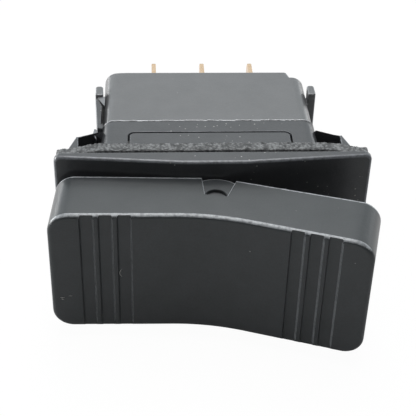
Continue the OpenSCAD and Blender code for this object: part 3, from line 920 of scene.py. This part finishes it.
@dataclass(frozen=True)
class RockerSizes:
    """Sizes of the actuator in millimetres, in its own frame: pivot at the origin, face to -Y.

    Angles are in degrees. groove_highlight and cut_worn are edge marks for painted
    highlights, in one over millimetres.
    """

    length: float = 49.2
    width: float = 22.2
    flare: float = 1.0
    corner: float = 3.3
    corner_steps: int = 12
    wall: float = 1.5
    wall_rings: int = 14
    face_t: float = 2.1
    face_h: float = 5.85
    face_angle: float = 8.8
    face_columns: int = 61
    face_rows: int = 41
    blend_r: float = 38.0
    skirt_h: float = 4.65
    skirt_angle: float = 7.5
    edge_r: float = 0.72
    edge_weight: float = 0.74
    edge_steps: tuple[float, ...] = (0.12, 0.25, 0.38, 0.5, 0.62, 0.75, 0.88, 1.0)
    edge_depth: float = 1.2
    lip_r: float = 0.22
    lip_worn: float = 0.18
    groove_n: int = 3
    groove_w: float = 2.0
    groove_pitch: float = 2.82
    groove_start: float = 13.05
    groove_d: float = 0.35
    groove_soft: float = 0.13
    groove_steps: tuple[float, ...] = (-1.25, -0.8, -0.5, -0.2, 0.2, 0.5, 0.8, 1.25)
    groove_apart: float = 0.25
    groove_highlight: float = 1.05
    groove_lean: float = -0.12
    recess: float = 0.2
    recess_half: float = 3.0
    recess_neck: float = 1.7
    recess_low: float = 0.1
    recess_ease: float = 0.14
    notch_r: float = 4.65
    notch_lead: float = 0.5
    bore_r: float = 1.7
    bore_rim: float = 0.07
    cut_worn: float = 3.0
    hub_r: float = 2.7
    hub_gap: float = 0.02
    prong_t: float = 1.2
    prong_half: float = 6.3
    prong_reach: float = 1.5
    prong_sunk: float = 0.2
    inside_d: float = 1.2
    tilt: float = 9.5
    pivot: float = 7.75


@dataclass(frozen=True)
class Cutter:
    """A closed tool: outlines, heights, and the painted-highlight edge mark its bevel leaves."""

    name: str
    levels: tuple[tuple[np.ndarray, float], ...]
    wear_and_highlight: float

    def placed(self, flip: int) -> bpy.types.Object:
        """Makes the tool for one actuator side, its bevel walls marked for a painted highlight.

        Args:
            flip: 1 for the upper side, -1 for the lower.

        Returns:
            The tool as an object.
        """
        points, faces = prism(self.levels)
        turned = faces if flip == 1 else [face[::-1] for face in faces]
        tool = mesh_object(f"{self.name}_{flip}", points * [1, 1, flip] * MM, turned)
        sides = len(self.levels[0][0])
        marks = np.zeros(len(faces))
        marks[sides:2 * sides] = self.wear_and_highlight
        keep_marks(tool.data, marks)
        return tool


class Rocker:
    """Dished actuator with finger grooves: one closed shell, worked out ring by ring."""

    def __init__(self, sizes: RockerSizes = RockerSizes()) -> None:
        """Keeps the sizes and works out what the whole shell shares.

        Args:
            sizes: the actuator's sizes.
        """
        self.s = sizes
        self.half = sizes.length / 2
        self.side = sizes.width / 2
        self.slope = math.tan(math.radians(sizes.face_angle))
        self.bend = sizes.blend_r * math.sin(math.radians(sizes.face_angle))
        self.skirt_slope = math.tan(math.radians(sizes.skirt_angle))
        self.quarter = np.radians(np.linspace(0, 90, sizes.corner_steps + 1))[1:]
        self.grooves = sizes.groove_start + sizes.groove_pitch * np.arange(sizes.groove_n)
        self.columns = self._columns()
        self.rows = np.linspace(1, -1, sizes.face_rows)
        self.lean = sizes.flare / (self.skirt(self.half + sizes.flare) - self.face(self.half))

    def _columns(self) -> np.ndarray:
        """Places columns along the face's straight part, close together at the groove edges.

        Returns:
            Their places in X, from left to right.
        """
        s = self.s
        flat = self.half - s.corner
        edges = (self.grooves[:, None] + np.array([-1, 1]) * s.groove_w / 2).ravel()
        fine = (edges[:, None] + s.groove_soft * np.array(s.groove_steps)).ravel()
        even = np.linspace(-flat, flat, s.face_columns)
        gap = np.abs(even[:, None] - np.concatenate([fine, -fine])).min(axis=1)
        kept = even[gap > s.groove_apart]
        return np.unique(np.concatenate([fine, -fine, kept, [-flat, flat]]))

    def rise(self, x: np.ndarray | float) -> np.ndarray | float:
        """Rise of the face from its middle: an arc of blend_r that runs into a straight slope.

        Args:
            x: places along the face.

        Returns:
            The rise at each.
        """
        r = self.s.blend_r
        arc = r - np.sqrt(r ** 2 - np.minimum(np.abs(x), self.bend) ** 2)
        return arc + np.maximum(np.abs(x) - self.bend, 0) * self.slope

    def face(self, x: np.ndarray | float) -> np.ndarray | float:
        """Y of the ungrooved face."""
        return -self.s.face_h - self.rise(x)

    def skirt(self, x: np.ndarray | float) -> np.ndarray | float:
        """Y of the skirt's edge."""
        return self.s.skirt_h - np.abs(x) * self.skirt_slope

    def groove(self, x: np.ndarray) -> np.ndarray:
        """Depth of the grooves: a trapezoid whose corners are eased over groove_soft.

        Args:
            x: places along the face.

        Returns:
            The depth at each.
        """
        s = self.s
        off = np.abs(np.abs(x)[:, None] - self.grooves).min(axis=1) - s.groove_w / 2
        return s.groove_d * (1 - smooth((off + s.groove_soft) / (2 * s.groove_soft)))

    def outline(self, inset: float) -> tuple[np.ndarray, np.ndarray]:
        """Rounded rectangle of the face, moved in by some distance.

        Args:
            inset: how far its edge moves in.

        Returns:
            Places in X, and the half width at each.
        """
        flat, r = self.half - self.s.corner, self.s.corner - inset
        arc_x = flat + r * np.sin(self.quarter)
        arc_h = self.side - self.s.corner + r * np.cos(self.quarter)
        x = np.concatenate([-arc_x[::-1], self.columns, arc_x])
        level = np.full(len(self.columns), self.side - inset)
        return x, np.concatenate([arc_h[::-1], level, arc_h])

    def sheet(self, inset: float, lift: float, grooved: bool) -> np.ndarray:
        """Grid of the face or of its inner side.

        Each point lies at (x, face(x) + depth, v h(x)), with v from 1 down to -1.

        Args:
            inset: how far the outline moves in.
            lift: depth below the plain face.
            grooved: whether the grooves are added to that depth.

        Returns:
            Points, as rows by columns by XYZ.
        """
        x, h = self.outline(inset)
        y = self.face(x) + lift + (self.groove(x) if grooved else 0)
        rows = self.rows[:, None]
        return np.stack([x + 0 * rows, y + 0 * rows, h * rows], axis=2)

    @staticmethod
    def rim(rows: int, columns: int) -> np.ndarray:
        """Numbers of a grid's outer points in order round it, from the first row."""
        grid = np.arange(rows * columns).reshape(rows, columns)
        return np.concatenate([grid[0], grid[1:, -1], grid[-1, -2::-1], grid[-2:0:-1, 0]])

    def rim_normals(self) -> np.ndarray:
        """Outward directions round the rim.

        Returns:
            X and Z of the direction at each point of rim().
        """
        angle = np.concatenate([-self.quarter[::-1], np.zeros(len(self.columns)), self.quarter])
        top = np.stack([np.sin(angle), np.cos(angle)], axis=1)
        right = np.tile([1.0, 0.0], (len(self.rows) - 2, 1))
        return np.concatenate([top, right, top[::-1] * [1, -1], -right])

    @staticmethod
    def end(push: np.ndarray) -> np.ndarray:
        """-1 or 1 for rim points that face the left or the right end, nought for the rest."""
        return np.sign(push[:, 0]) * (np.abs(push[:, 0]) > 0.001)

    def below(self, out: np.ndarray, push: np.ndarray, depth: np.ndarray | float) -> np.ndarray:
        """Points below the face's edge, on walls that lean out at the two ends.

        Args:
            out: X and Z of the edge's points.
            push: the outward direction at each.
            depth: how far below the plain face each point lies.

        Returns:
            The points as X, Y and Z.
        """
        x = out[:, 0] + self.end(push) * self.lean * depth
        return np.stack([x, self.face(out[:, 0]) + depth, out[:, 1]], axis=1)

    def rings(self) -> list[np.ndarray]:
        """Rings of points from the face's edge, down the wall, round the lip and up inside.

        The edge is a conic with weight w between the face, the corner and the wall:
        P(t) = ((1-t)^2 A + 2 w t (1-t) C + t^2 B) / ((1-t)^2 + 2 w t (1-t) + t^2),
        never less deep than the groove, so that the grooves cut through it.

        Returns:
            The rings, each with one point for each point of the face's rim.
        """
        s = self.s
        face = self.sheet(s.edge_r, 0, True)
        flat = face.reshape(-1, 3)[self.rim(*face.shape[:2])]
        push = self.rim_normals()
        out = flat[:, [0, 2]] + push * s.edge_r
        cut = self.groove(flat[:, 0])
        first = np.stack([flat[:, 0], self.face(flat[:, 0]), flat[:, 2]], axis=1)
        corner = self.below(out, push, 0)
        wall = self.below(out, push, s.edge_r)
        found = []
        for t in s.edge_steps:
            a, c, b = (1 - t) ** 2, 2 * s.edge_weight * t * (1 - t), t * t
            ring = (a * first + c * corner + b * wall) / (a + c + b)
            ring[:, 1] = np.maximum(ring[:, 1], self.face(ring[:, 0]) + cut)
            found.append(ring)
        full = self.skirt(out[:, 0]) - self.face(out[:, 0])
        leaning = self.end(push) != 0
        full = np.where(leaning, full / (1 + self.lean * self.skirt_slope), full)
        start = np.maximum(s.edge_r, cut + 0.02)
        stop = full - s.lip_r - s.lip_worn
        found += [self.below(out, push, start + (stop - start) * t)
                  for t in np.linspace(0, 1, s.wall_rings + 1)[1:]]
        for inset, height in self._lip():
            ring = self.below(out, push, full - height)
            ring[:, [0, 2]] -= push * inset
            found.append(ring)
        inside = self.below(out, push, s.face_t + s.inside_d)
        inside[:, [0, 2]] -= push * s.wall
        return [*found, inside]

    def _lip(self) -> list[tuple[float, float]]:
        """Rounded lip of the skirt: a quarter round on each side of its edge.

        Returns:
            How far in from the outer wall, and how high above the edge, each ring lies.
        """
        s = self.s
        rise = [(s.lip_r * (1 - math.cos(a)), s.lip_r * (1 - math.sin(a)))
                for a in (0, *np.radians([30, 60, 90]))]
        return rise + [(s.wall - i, low) for i, low in rise[::-1]] + [(s.wall, s.lip_r)]

    def shell(self) -> Shape:
        """Closed shell without its cuts.

        Returns:
            Its points and faces: the face's grid first, then the walls, then the inner side.
        """
        s = self.s
        face = self.sheet(s.edge_r, 0, True)
        inner = self.sheet(s.wall, s.face_t, False)
        rim = self.rim(*face.shape[:2])
        rings = self.rings()
        count = face.shape[0] * face.shape[1]
        last = count + len(rings) * len(rim)
        points = np.concatenate([face.reshape(-1, 3), *rings, inner.reshape(-1, 3)])
        front = quads(np.arange(count).reshape(face.shape[:2]), flip=True)
        between = np.arange(count, last).reshape(len(rings), len(rim))
        walls = quads(np.stack([rim, *between, last + rim]), close_columns=True)
        return points, np.concatenate([front, walls, (front + last)[:, ::-1]]).tolist()

    def cutters(self) -> list[Cutter]:
        """Tools for one side: the recess, the notch round the pin's ear, and the rimmed bore.

        Returns:
            The tools, in the order in which they cut.
        """
        s = self.s
        high, low, deep = self.side, self.side - s.recess, s.skirt_h + 1
        under, past, lead = self.side - s.wall - 1, 0.2, 0.1
        reach = math.asin(min(0.95, (s.recess_half + past) / s.notch_r))
        turn = np.linspace(-reach, reach, 25)
        around = np.radians(np.arange(0, 360, 7.5))

        def trapezoid(grow: float) -> np.ndarray:
            """Outline of the recess.

            Args:
                grow: how far it is widened on each side.

            Returns:
                Its points in X and Y.
            """
            half, neck = s.recess_half + grow, s.recess_neck + grow
            return np.array([(half, deep), (neck, -s.recess_low), (-neck, -s.recess_low),
                             (-half, deep)])

        def arch(r: float) -> np.ndarray:
            """Outline of the notch: an arc about the pivot, closed below the skirt.

            Args:
                r: the radius of the arc.

            Returns:
                Its points in X and Y.
            """
            curve = np.stack([r * np.sin(turn), r * np.cos(turn)], axis=1)
            half = r * math.sin(reach)
            return np.concatenate([curve, [(half, deep), (-half, deep)]])[::-1]

        def ring(r: float) -> np.ndarray:
            """Outline of the bore."""
            return np.stack([r * np.cos(around), -r * np.sin(around)], axis=1)

        wide, rimmed = trapezoid(s.recess_ease + past), ring(s.bore_r + s.bore_rim + lead)
        return [
            Cutter("recess", ((trapezoid(0), low), (trapezoid(0), high - s.recess_ease),
                              (wide, high + past), (wide, high + 1)), s.cut_worn),
            Cutter("notch", ((arch(s.notch_r), under), (arch(s.notch_r), low - s.recess_ease),
                             (arch(s.notch_r - s.notch_lead), low + lead)), s.cut_worn),
            Cutter("bore", ((ring(s.bore_r), under), (ring(s.bore_r), low - s.bore_rim),
                            (rimmed, low + lead)), 0.0),
        ]

    def prongs(self) -> list[Shape]:
        """Builds the two inner prongs that grip the rotor's hub.

        Returns:
            The points and faces of each, right one first.
        """
        s = self.s
        near = s.hub_r + s.hub_gap
        far = near + s.prong_t
        low, high = s.face_t - s.face_h - s.prong_sunk, s.prong_reach
        plans = [np.array([(a, low), (a, high), (b, high), (b, low)])
                 for a, b in ((near, far), (-far, -near))]
        return [prism(((plan, -s.prong_half), (plan, s.prong_half))) for plan in plans]

    def paint_edge_highlights(self, piece: bpy.types.Object) -> None:
        """Paints highlights through the edge marks: on the grooved face only groove edges facing
        -X.

        The face's grid makes up the shell's first faces. The plain face leans towards the
        middle by x / blend_r, up to the end of its arc, and what leans further to -X keeps a
        painted highlight, as if lit from the left. Round the front edge the painted highlight
        keeps (|nz| - 0.3) / 0.4 of its mark, clamped, so it fades where the fillet faces the ends.

        Args:
            piece: the shell, with its edge marks.
        """
        s, faces = self.s, piece.data.polygons
        count = (len(self.rows) - 1) * (len(self.outline(0)[0]) - 1)
        layer = piece.data.attributes[EDGE_MARK].data
        worth = read(layer, "value")
        normal, centre = read(faces, "normal", 3), read(faces, "center", 3) / MM
        lean = normal[:, 0] + np.clip(centre[:, 0], -self.bend, self.bend) / s.blend_r
        worth[:count] = np.where(lean[:count] < s.groove_lean, s.groove_highlight, 0)
        front = centre[:, 1] < self.face(centre[:, 0]) + s.edge_depth
        front[:count] = False
        worth[front] *= np.clip((np.abs(normal[front, 2]) - 0.3) / 0.4, 0, 1)
        layer.foreach_set("value", worth)

    def at_rest(self, piece: bpy.types.Object) -> None:
        """Turns a piece from the actuator's own frame to its rest place about the pivot."""
        turn = Matrix.Rotation(math.radians(-self.s.tilt), 4, "Z")
        piece.data.transform(Matrix.Translation((0, -self.s.pivot * MM, 0)) @ turn)

    def build(self) -> bpy.types.Object:
        """Builds the actuator at rest: the shell, its cuts on both sides, and the prongs.

        Returns:
            The piece.
        """
        points, faces = self.shell()
        piece = mesh_object("actuator_shell", points * MM, faces)
        mark_edges(piece)
        self.paint_edge_highlights(piece)
        carve(piece, [cutter.placed(flip) for cutter in self.cutters() for flip in (1, -1)])
        for k, (spots, sides) in enumerate(self.prongs()):
            join(piece, mesh_object(f"prong_{k}", spots * MM, sides))
        self.at_rest(piece)
        shaded(piece, 28)
        dress(piece, Finish.ACTUATOR)
        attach(piece, "rocker")
        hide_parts("actuator")
        return piece


@dataclass(frozen=True)
class Fibre:
    """A stray fibre on the actuator's face: an arc in X and Z, in millimetres and degrees."""

    across: float
    up: float
    bend_r: float
    start: float
    sweep: float
    thick: float = 0.05


@dataclass(frozen=True)
class Lint:
    """Fibres that have settled on the actuator."""

    rocker: Rocker
    fibres: tuple[Fibre, ...] = (
        Fibre(-13.0, -0.25, 0.95, 125, 105),
        Fibre(-22.9, -4.3, 0.7, 240, 60, 0.045),
        Fibre(-21.6, -5.4, 0.8, 70, 45, 0.035),
        Fibre(-23.1, -6.2, 0.9, 60, 30, 0.035),
    )

    def strand(self, fibre: Fibre) -> tuple[np.ndarray, np.ndarray]:
        """Tube round C(u) = centre + bend_r (cos u, sin u), lying on the grooved face.

        It narrows towards its two open ends by the sine of the way along.

        Args:
            fibre: the fibre's place and sizes.

        Returns:
            Its points, and its faces as an array.
        """
        way = np.linspace(0, 1, 13)
        turn = np.radians(fibre.start + fibre.sweep * way)
        out = np.stack([np.cos(turn), np.sin(turn)], axis=1)
        line = np.array([fibre.across, fibre.up]) + fibre.bend_r * out
        thick = fibre.thick * (0.35 + 0.65 * np.sin(np.pi * way))
        floor = self.rocker.face(line[:, 0]) + self.rocker.groove(line[:, 0]) - thick
        ring = np.radians(np.arange(0, 360, 60))[:, None]
        side = np.cos(ring) * thick
        points = np.stack([line[:, 0] + side * out[:, 0], floor + np.sin(ring) * thick,
                           line[:, 1] + side * out[:, 1]], axis=2)
        loops = np.arange(side.size).reshape(side.shape)
        return points.reshape(-1, 3), quads(loops, close_rows=True)

    def build(self) -> bpy.types.Object:
        """Builds all fibres as one piece that rides the actuator.

        Returns:
            The piece.
        """
        strands = [self.strand(fibre) for fibre in self.fibres]
        firsts = np.cumsum([0] + [len(points) for points, _ in strands])
        faces = np.concatenate([walls + first for (_, walls), first in zip(strands, firsts)])
        points = np.concatenate([points for points, _ in strands])
        piece = mesh_object("face_lint", points * MM, faces.tolist())
        self.rocker.at_rest(piece)
        shaded(piece, 80)
        dress(piece, Finish.LINT)
        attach(piece, "rocker")
        return piece


# ---- Bracket, base and terminals -----------------------------------------------------------


def both(a: Vector, b: Vector, axis: int, low: float, high: float = math.inf) -> bool:
    """Whether both ends of an edge lie between two distances from the middle along an axis."""
    return low <= abs(a[axis]) <= high and low <= abs(b[axis]) <= high


@dataclass(frozen=True)
class BracketSizes:
    """Edge radii of the bracket and the places that tell its edges apart, in millimetres."""

    flange_l: float = 50.4
    flange_w: float = 27.7
    pad_end: float = 1.4
    pad_front: float = -0.9
    front_r: float = 0.42
    rear_r: float = 0.1
    mouth_r: float = 0.12
    sleeve_r: float = 0.16
    slot_r: float = 0.07
    slot_half: float = 13.6
    latch_r: float = 0.14
    body_l: float = 36.6
    body_w: float = 20.8
    body_r: float = 2.3
    sleeve_d: float = 15.0
    sleeve_top: float = 10.3
    corner_l: float = 2.4
    corner_w: float = 8.0
    latch_gap: float = 0.3
    flash_h: float = 0.13
    flash_w: float = 0.1
    flash_least: float = 0.12
    flash_seed: int = 5


class Bracket:
    """Flange, sleeve, snap wings and latch arms: one moulding with broken edges and flash."""

    def __init__(self, sizes: BracketSizes = BracketSizes()) -> None:
        """Keeps the sizes."""
        self.s = sizes

    def radius(self, a: Vector, b: Vector) -> float:
        """Radius of one edge, by where it lies.

        Args:
            a: one end in millimetres.
            b: the other.

        Returns:
            The radius, nought for an edge that stays sharp.
        """
        s = self.s
        rim = (both(a, b, 0, s.flange_l / 2 - s.pad_end)
               or both(a, b, 2, s.flange_w / 2 - NEAR))
        if max(a.y, b.y) < NEAR:
            if not rim:
                return s.mouth_r
            if max(a.y, b.y) < s.pad_front:
                return s.front_r
            return s.rear_r if min(a.y, b.y) > -NEAR else 0.0
        if abs(a.y - s.sleeve_d) < NEAR and abs(b.y - s.sleeve_d) < NEAR:
            outer = (both(a, b, 0, s.body_l / 2 - s.corner_l) and both(a, b, 2, s.corner_w)
                     or both(a, b, 2, s.sleeve_top))
            return s.sleeve_r if outer else 0.0
        if both(a, b, 2, s.sleeve_top) and both(a, b, 0, 0, s.slot_half):
            return s.slot_r
        return s.latch_r if both(a, b, 0, s.body_l / 2 + s.latch_gap) else 0.0

    def flash(self) -> bpy.types.Object:
        """Ragged flash along the sleeve's rear rim, a half-round bead round its outline.

        Its height wanders between nearly nought and flash_h by noise averaged over three
        neighbours. The edges of the bead lie inside the sleeve.

        Returns:
            The bead, along the top and, turned over, along the underside.
        """
        s = self.s
        turn = np.radians(np.linspace(90, 0, 9))
        l, w, r = s.body_l / 2, s.body_w / 2, s.body_r
        facing = np.stack([np.cos(turn), np.sin(turn)], 1)
        corner = np.array([l - r, w - r]) + r * facing
        top = np.linspace(-(l - r), l - r, 161)[1:-1]
        edge = np.stack([top, np.full(len(top), w)], 1)
        path = np.concatenate([corner[::-1] * [-1, 1], edge, corner])
        push = np.concatenate([facing[::-1] * [-1, 1], np.tile([0.0, 1.0], (len(top), 1)), facing])
        tall = np.random.default_rng(s.flash_seed).random(len(path) + 6)
        tall = np.convolve(tall, np.ones(3) / 3, "same")[3:-3]
        tall = s.flash_h * np.clip((tall - 0.3) / 0.35, s.flash_least, 1)
        lean = np.radians(np.linspace(-25, 205, 8))[:, None]
        out = path + push * (np.sin(lean) * tall)[..., None]
        y = s.sleeve_d - s.flash_w - np.cos(lean) * s.flash_w + 0 * tall
        points = np.stack([out[..., 0], y, out[..., 1]], axis=2)
        points = np.concatenate([points, points * [1, 1, -1]], axis=0)
        above = quads(np.arange(y.size).reshape(y.shape))
        faces = np.concatenate([above, above[:, ::-1] + y.size])
        return mesh_object("sleeve_flash", points.reshape(-1, 3) * MM, faces.tolist())

    def build(self, nodes: dict[str, bpy.types.Object]) -> bpy.types.Object:
        """Builds the moulding from the CAD node's shape, and its flash as a second piece.

        Args:
            nodes: the frame's nodes by name.

        Returns:
            The moulding.
        """
        piece = copy_of(nodes["bracket"], "bracket_moulding")
        eased(piece, self.radius)
        shaded(piece, 32)
        dress(piece, Finish.BRACKET)
        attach(piece, "frame")
        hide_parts("bracket")
        seam = self.flash()
        shaded(seam, 60)
        # Its pale finish paints the rim's highlight.
        dress(seam, Finish.FLASH)
        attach(seam, "frame")
        return piece


@dataclass(frozen=True)
class BaseSizes:
    """Edge radii of the base and the places that tell its edges apart, in millimetres."""

    rear_y: float = 31.8
    rear_d: float = 2.5
    rear_r: float = 0.35
    slot_r: float = 0.08
    slots_l: float = 12.0
    slots_w: float = 8.0
    half_l: float = 18.2
    ear_r: float = 0.18


class Base:
    """Base moulding with its ears, catches and keying steps."""

    def __init__(self, sizes: BaseSizes = BaseSizes()) -> None:
        """Keeps the sizes."""
        self.s = sizes

    def radius(self, a: Vector, b: Vector) -> float:
        """Radius of one edge, by where it lies.

        Args:
            a: one end in millimetres.
            b: the other.

        Returns:
            The radius, nought for an edge that stays sharp.
        """
        s = self.s
        if min(a.y, b.y) > s.rear_y - s.rear_d:
            inside = both(a, b, 0, 0, s.slots_l) and both(a, b, 2, 0, s.slots_w)
            return s.slot_r if inside else s.rear_r
        return s.ear_r if both(a, b, 0, s.half_l + NEAR) else 0.0

    def build(self, nodes: dict[str, bpy.types.Object]) -> bpy.types.Object:
        """Builds the moulding from the CAD node's shape.

        Args:
            nodes: the frame's nodes by name.

        Returns:
            The moulding.
        """
        piece = copy_of(nodes["base_housing"], "base_moulding")
        eased(piece, self.radius)
        shaded(piece, 32)
        dress(piece, Finish.BASE)
        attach(piece, "frame")
        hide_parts("base_housing")
        return piece


@dataclass(frozen=True)
class BladeSizes:
    """Edge radii of the blades and the places that tell their edges apart, in millimetres."""

    tip_y: float = 42.2
    tip_d: float = 1.2
    tip_r: float = 0.24
    blade_y: float = 20.0
    blade_r: float = 0.1


class Terminals:
    """Stamped blades with burr-free edges and coined tips."""

    def __init__(self, sizes: BladeSizes = BladeSizes()) -> None:
        """Keeps the sizes."""
        self.s = sizes

    def radius(self, a: Vector, b: Vector) -> float:
        """Radius of one edge: large at the tip, slight elsewhere on the blade.

        Args:
            a: one end in millimetres.
            b: the other.

        Returns:
            The radius, nought for an edge inside the housing.
        """
        nearest = min(a.y, b.y)
        if nearest > self.s.tip_y - self.s.tip_d:
            return self.s.tip_r
        return self.s.blade_r if nearest > self.s.blade_y else 0.0

    def build(self, nodes: dict[str, bpy.types.Object]) -> list[bpy.types.Object]:
        """Builds the six blades from the CAD nodes' shapes.

        Args:
            nodes: the frame's nodes by name.

        Returns:
            The blades, in the order of their names.
        """
        made = []
        for name in sorted(n for n in nodes if n.startswith("terminal_")):
            piece = copy_of(nodes[name], name.replace("terminal", "blade"))
            eased(piece, self.radius, 2)
            shaded(piece, 32)
            dress(piece, Finish.BRASS)
            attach(piece, "frame")
            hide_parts(name)
            made.append(piece)
        return made


# ---- Gasket --------------------------------------------------------------------------------


@dataclass(frozen=True)
class GasketSizes:
    """Sizes of the foam gasket in millimetres, as it springs off the flange."""

    length: float = 49.6
    width: float = 26.9
    inner_l: float = 45.0
    inner_w: float = 22.6
    corner: float = 0.4
    inner_corner: float = 0.8
    clear: float = 0.03
    thickness: float = 1.7
    swell: float = 0.45
    bow: float = 1.12
    bow_flat: float = 17.5
    bow_end: float = 24.5
    edge: float = 0.18
    lump: float = 0.035
    long_steps: int = 261
    short_steps: int = 121
    seed: int = 11


class Gasket:
    """Foam strip whose long sides stand off the flange between its stuck-down ends."""

    def __init__(self, sizes: GasketSizes = GasketSizes()) -> None:
        """Keeps the sizes."""
        self.s = sizes

    def path(self, length: float, width: float, r: float) -> np.ndarray:
        """Rounded rectangle with the same count of points for every size.

        Args:
            length: its size along X.
            width: its size along Z.
            r: the radius of its corners.

        Returns:
            Its points in X and Z, turning right round from the top's left end.
        """
        turn = np.radians(np.linspace(90, 0, 7))
        ends = np.stack([length / 2 - r + r * np.cos(turn), width / 2 - r + r * np.sin(turn)], 1)
        top = np.linspace(-(length / 2 - r), length / 2 - r, self.s.long_steps)[1:-1]
        side = np.linspace(width / 2 - r, -(width / 2 - r), self.s.short_steps)[1:-1]
        across = np.stack([top, np.full(len(top), width / 2)], 1)
        down = np.stack([np.full(len(side), length / 2), side], 1)
        return np.concatenate([across, ends, down, ends[::-1] * [1, -1],
                               -across, -ends, -down, ends[::-1] * [-1, 1]])

    def middle(self, x: np.ndarray) -> np.ndarray:
        """One along the middle of the long sides, with a smooth fall to nought at the ends."""
        return smooth((self.s.bow_end - np.abs(x)) / (self.s.bow_end - self.s.bow_flat))

    def section(self) -> tuple[np.ndarray, ...]:
        """Points round the strip's section.

        Returns:
            Share of the width from the outer side, inset from that place, share of the
            thickness, drop from that place, and the outward direction across and along Y.
        """
        turn = np.radians([0, 30, 60, 90])
        sin, cos, e = np.sin(turn), np.cos(turn), self.s.edge
        up, over = np.linspace(0.1, 0.9, 6), np.linspace(0.1, 0.9, 7)
        flat, one = np.zeros(6), np.ones(6)
        parts = [
            (flat, flat, up, flat, -one, flat),
            (0 * sin, e * (1 - cos), 0 * sin + 1, -e * (1 - sin), -cos, sin),
            (over, 0 * over, 0 * over + 1, 0 * over, 0 * over, 0 * over + 1),
            (0 * sin + 1, -e * (1 - sin), 0 * sin + 1, -e * (1 - cos), sin, cos),
            (one, flat, up[::-1], flat, one, flat),
            (0 * sin + 1, -e * (1 - cos), 0 * sin, e * (1 - sin), cos, -sin),
            (0 * sin, e * (1 - sin), 0 * sin, e * (1 - cos), -sin, -cos),
        ]
        return tuple(np.concatenate(column) for column in zip(*parts))

    def build(self) -> bpy.types.Object:
        """Builds the gasket: a section with rounded corners carried round the path.

        The long sides swell and stand off by middle(x); open cells push each point in or out
        along its direction by noise that is averaged over its neighbours.

        Returns:
            The piece.
        """
        s = self.s
        outer = self.path(s.length, s.width, s.corner)
        inner = self.path(s.inner_l, s.inner_w, s.inner_corner)
        across, inset, tall, drop, out, rear = (c[:, None] for c in self.section())
        width = np.linalg.norm(inner - outer, axis=1)
        ahead = (inner - outer) / width[:, None]
        share = self.middle(outer[:, 0])
        rough = np.random.default_rng(s.seed).normal(size=(len(across), len(outer)))
        rough = (rough + np.roll(rough, 1, 1) + np.roll(rough, 1, 0)) * s.lump
        reach = across * width + inset + rough * out
        x = outer[:, 0] + ahead[:, 0] * reach
        z = outer[:, 1] + ahead[:, 1] * reach
        y = s.clear + share * s.bow + tall * (s.thickness + s.swell * share) + drop
        y += rough * np.maximum(rear, 0)
        points = np.stack([x, y, z], axis=2).reshape(-1, 3)
        faces = quads(np.arange(x.size).reshape(x.shape), close_rows=True, close_columns=True)
        piece = mesh_object("foam_gasket", points * MM, faces.tolist())
        shaded(piece, 80)
        dress(piece, Finish.FOAM)
        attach(piece, "frame")
        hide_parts("panel_gasket")
        return piece


# ---- The part ------------------------------------------------------------------------------

NODE_FINISHES = {
    "bracket": Finish.BRACKET,
    "panel_gasket": Finish.FOAM,
    "base_housing": Finish.BASE,
    "base_seal": Finish.SEAL,
    "actuator": Finish.ACTUATOR,
    "rotor": Finish.ROTOR,
    "plunger_a": Finish.PLUNGER,
    "plunger_b": Finish.PLUNGER,
    "plunger_spring": Finish.SPRING,
    "moving_contact": Finish.COPPER,
    "moving_rivet": Finish.SILVER,
    "fixed_contact": Finish.SILVER,
    "terminal": Finish.BRASS,
}


def main() -> None:
    """Dresses every CAD node, builds the finished pieces over them, then the studio."""
    logging.basicConfig(level=logging.INFO, format="%(message)s")
    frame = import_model()
    nodes = frame["nodes"]
    for name, node in nodes.items():
        finish = NODE_FINISHES[next(stem for stem in NODE_FINISHES if name.startswith(stem))]
        dress(node, finish)
        LOG.info("dressed %s with %s", name, finish.name)
    rocker = Rocker()
    for kind, make, given in (("actuator", rocker.build, ()), ("lint", Lint(rocker).build, ()),
                              ("gasket", Gasket().build, ()),
                              ("bracket", Bracket().build, (nodes,)),
                              ("base", Base().build, (nodes,)),
                              ("terminals", Terminals().build, (nodes,))):
        make(*given)
        LOG.info("built %s", kind)
    low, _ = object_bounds()
    Studio().build(low[2])


if __name__ == "__main__":
    main()
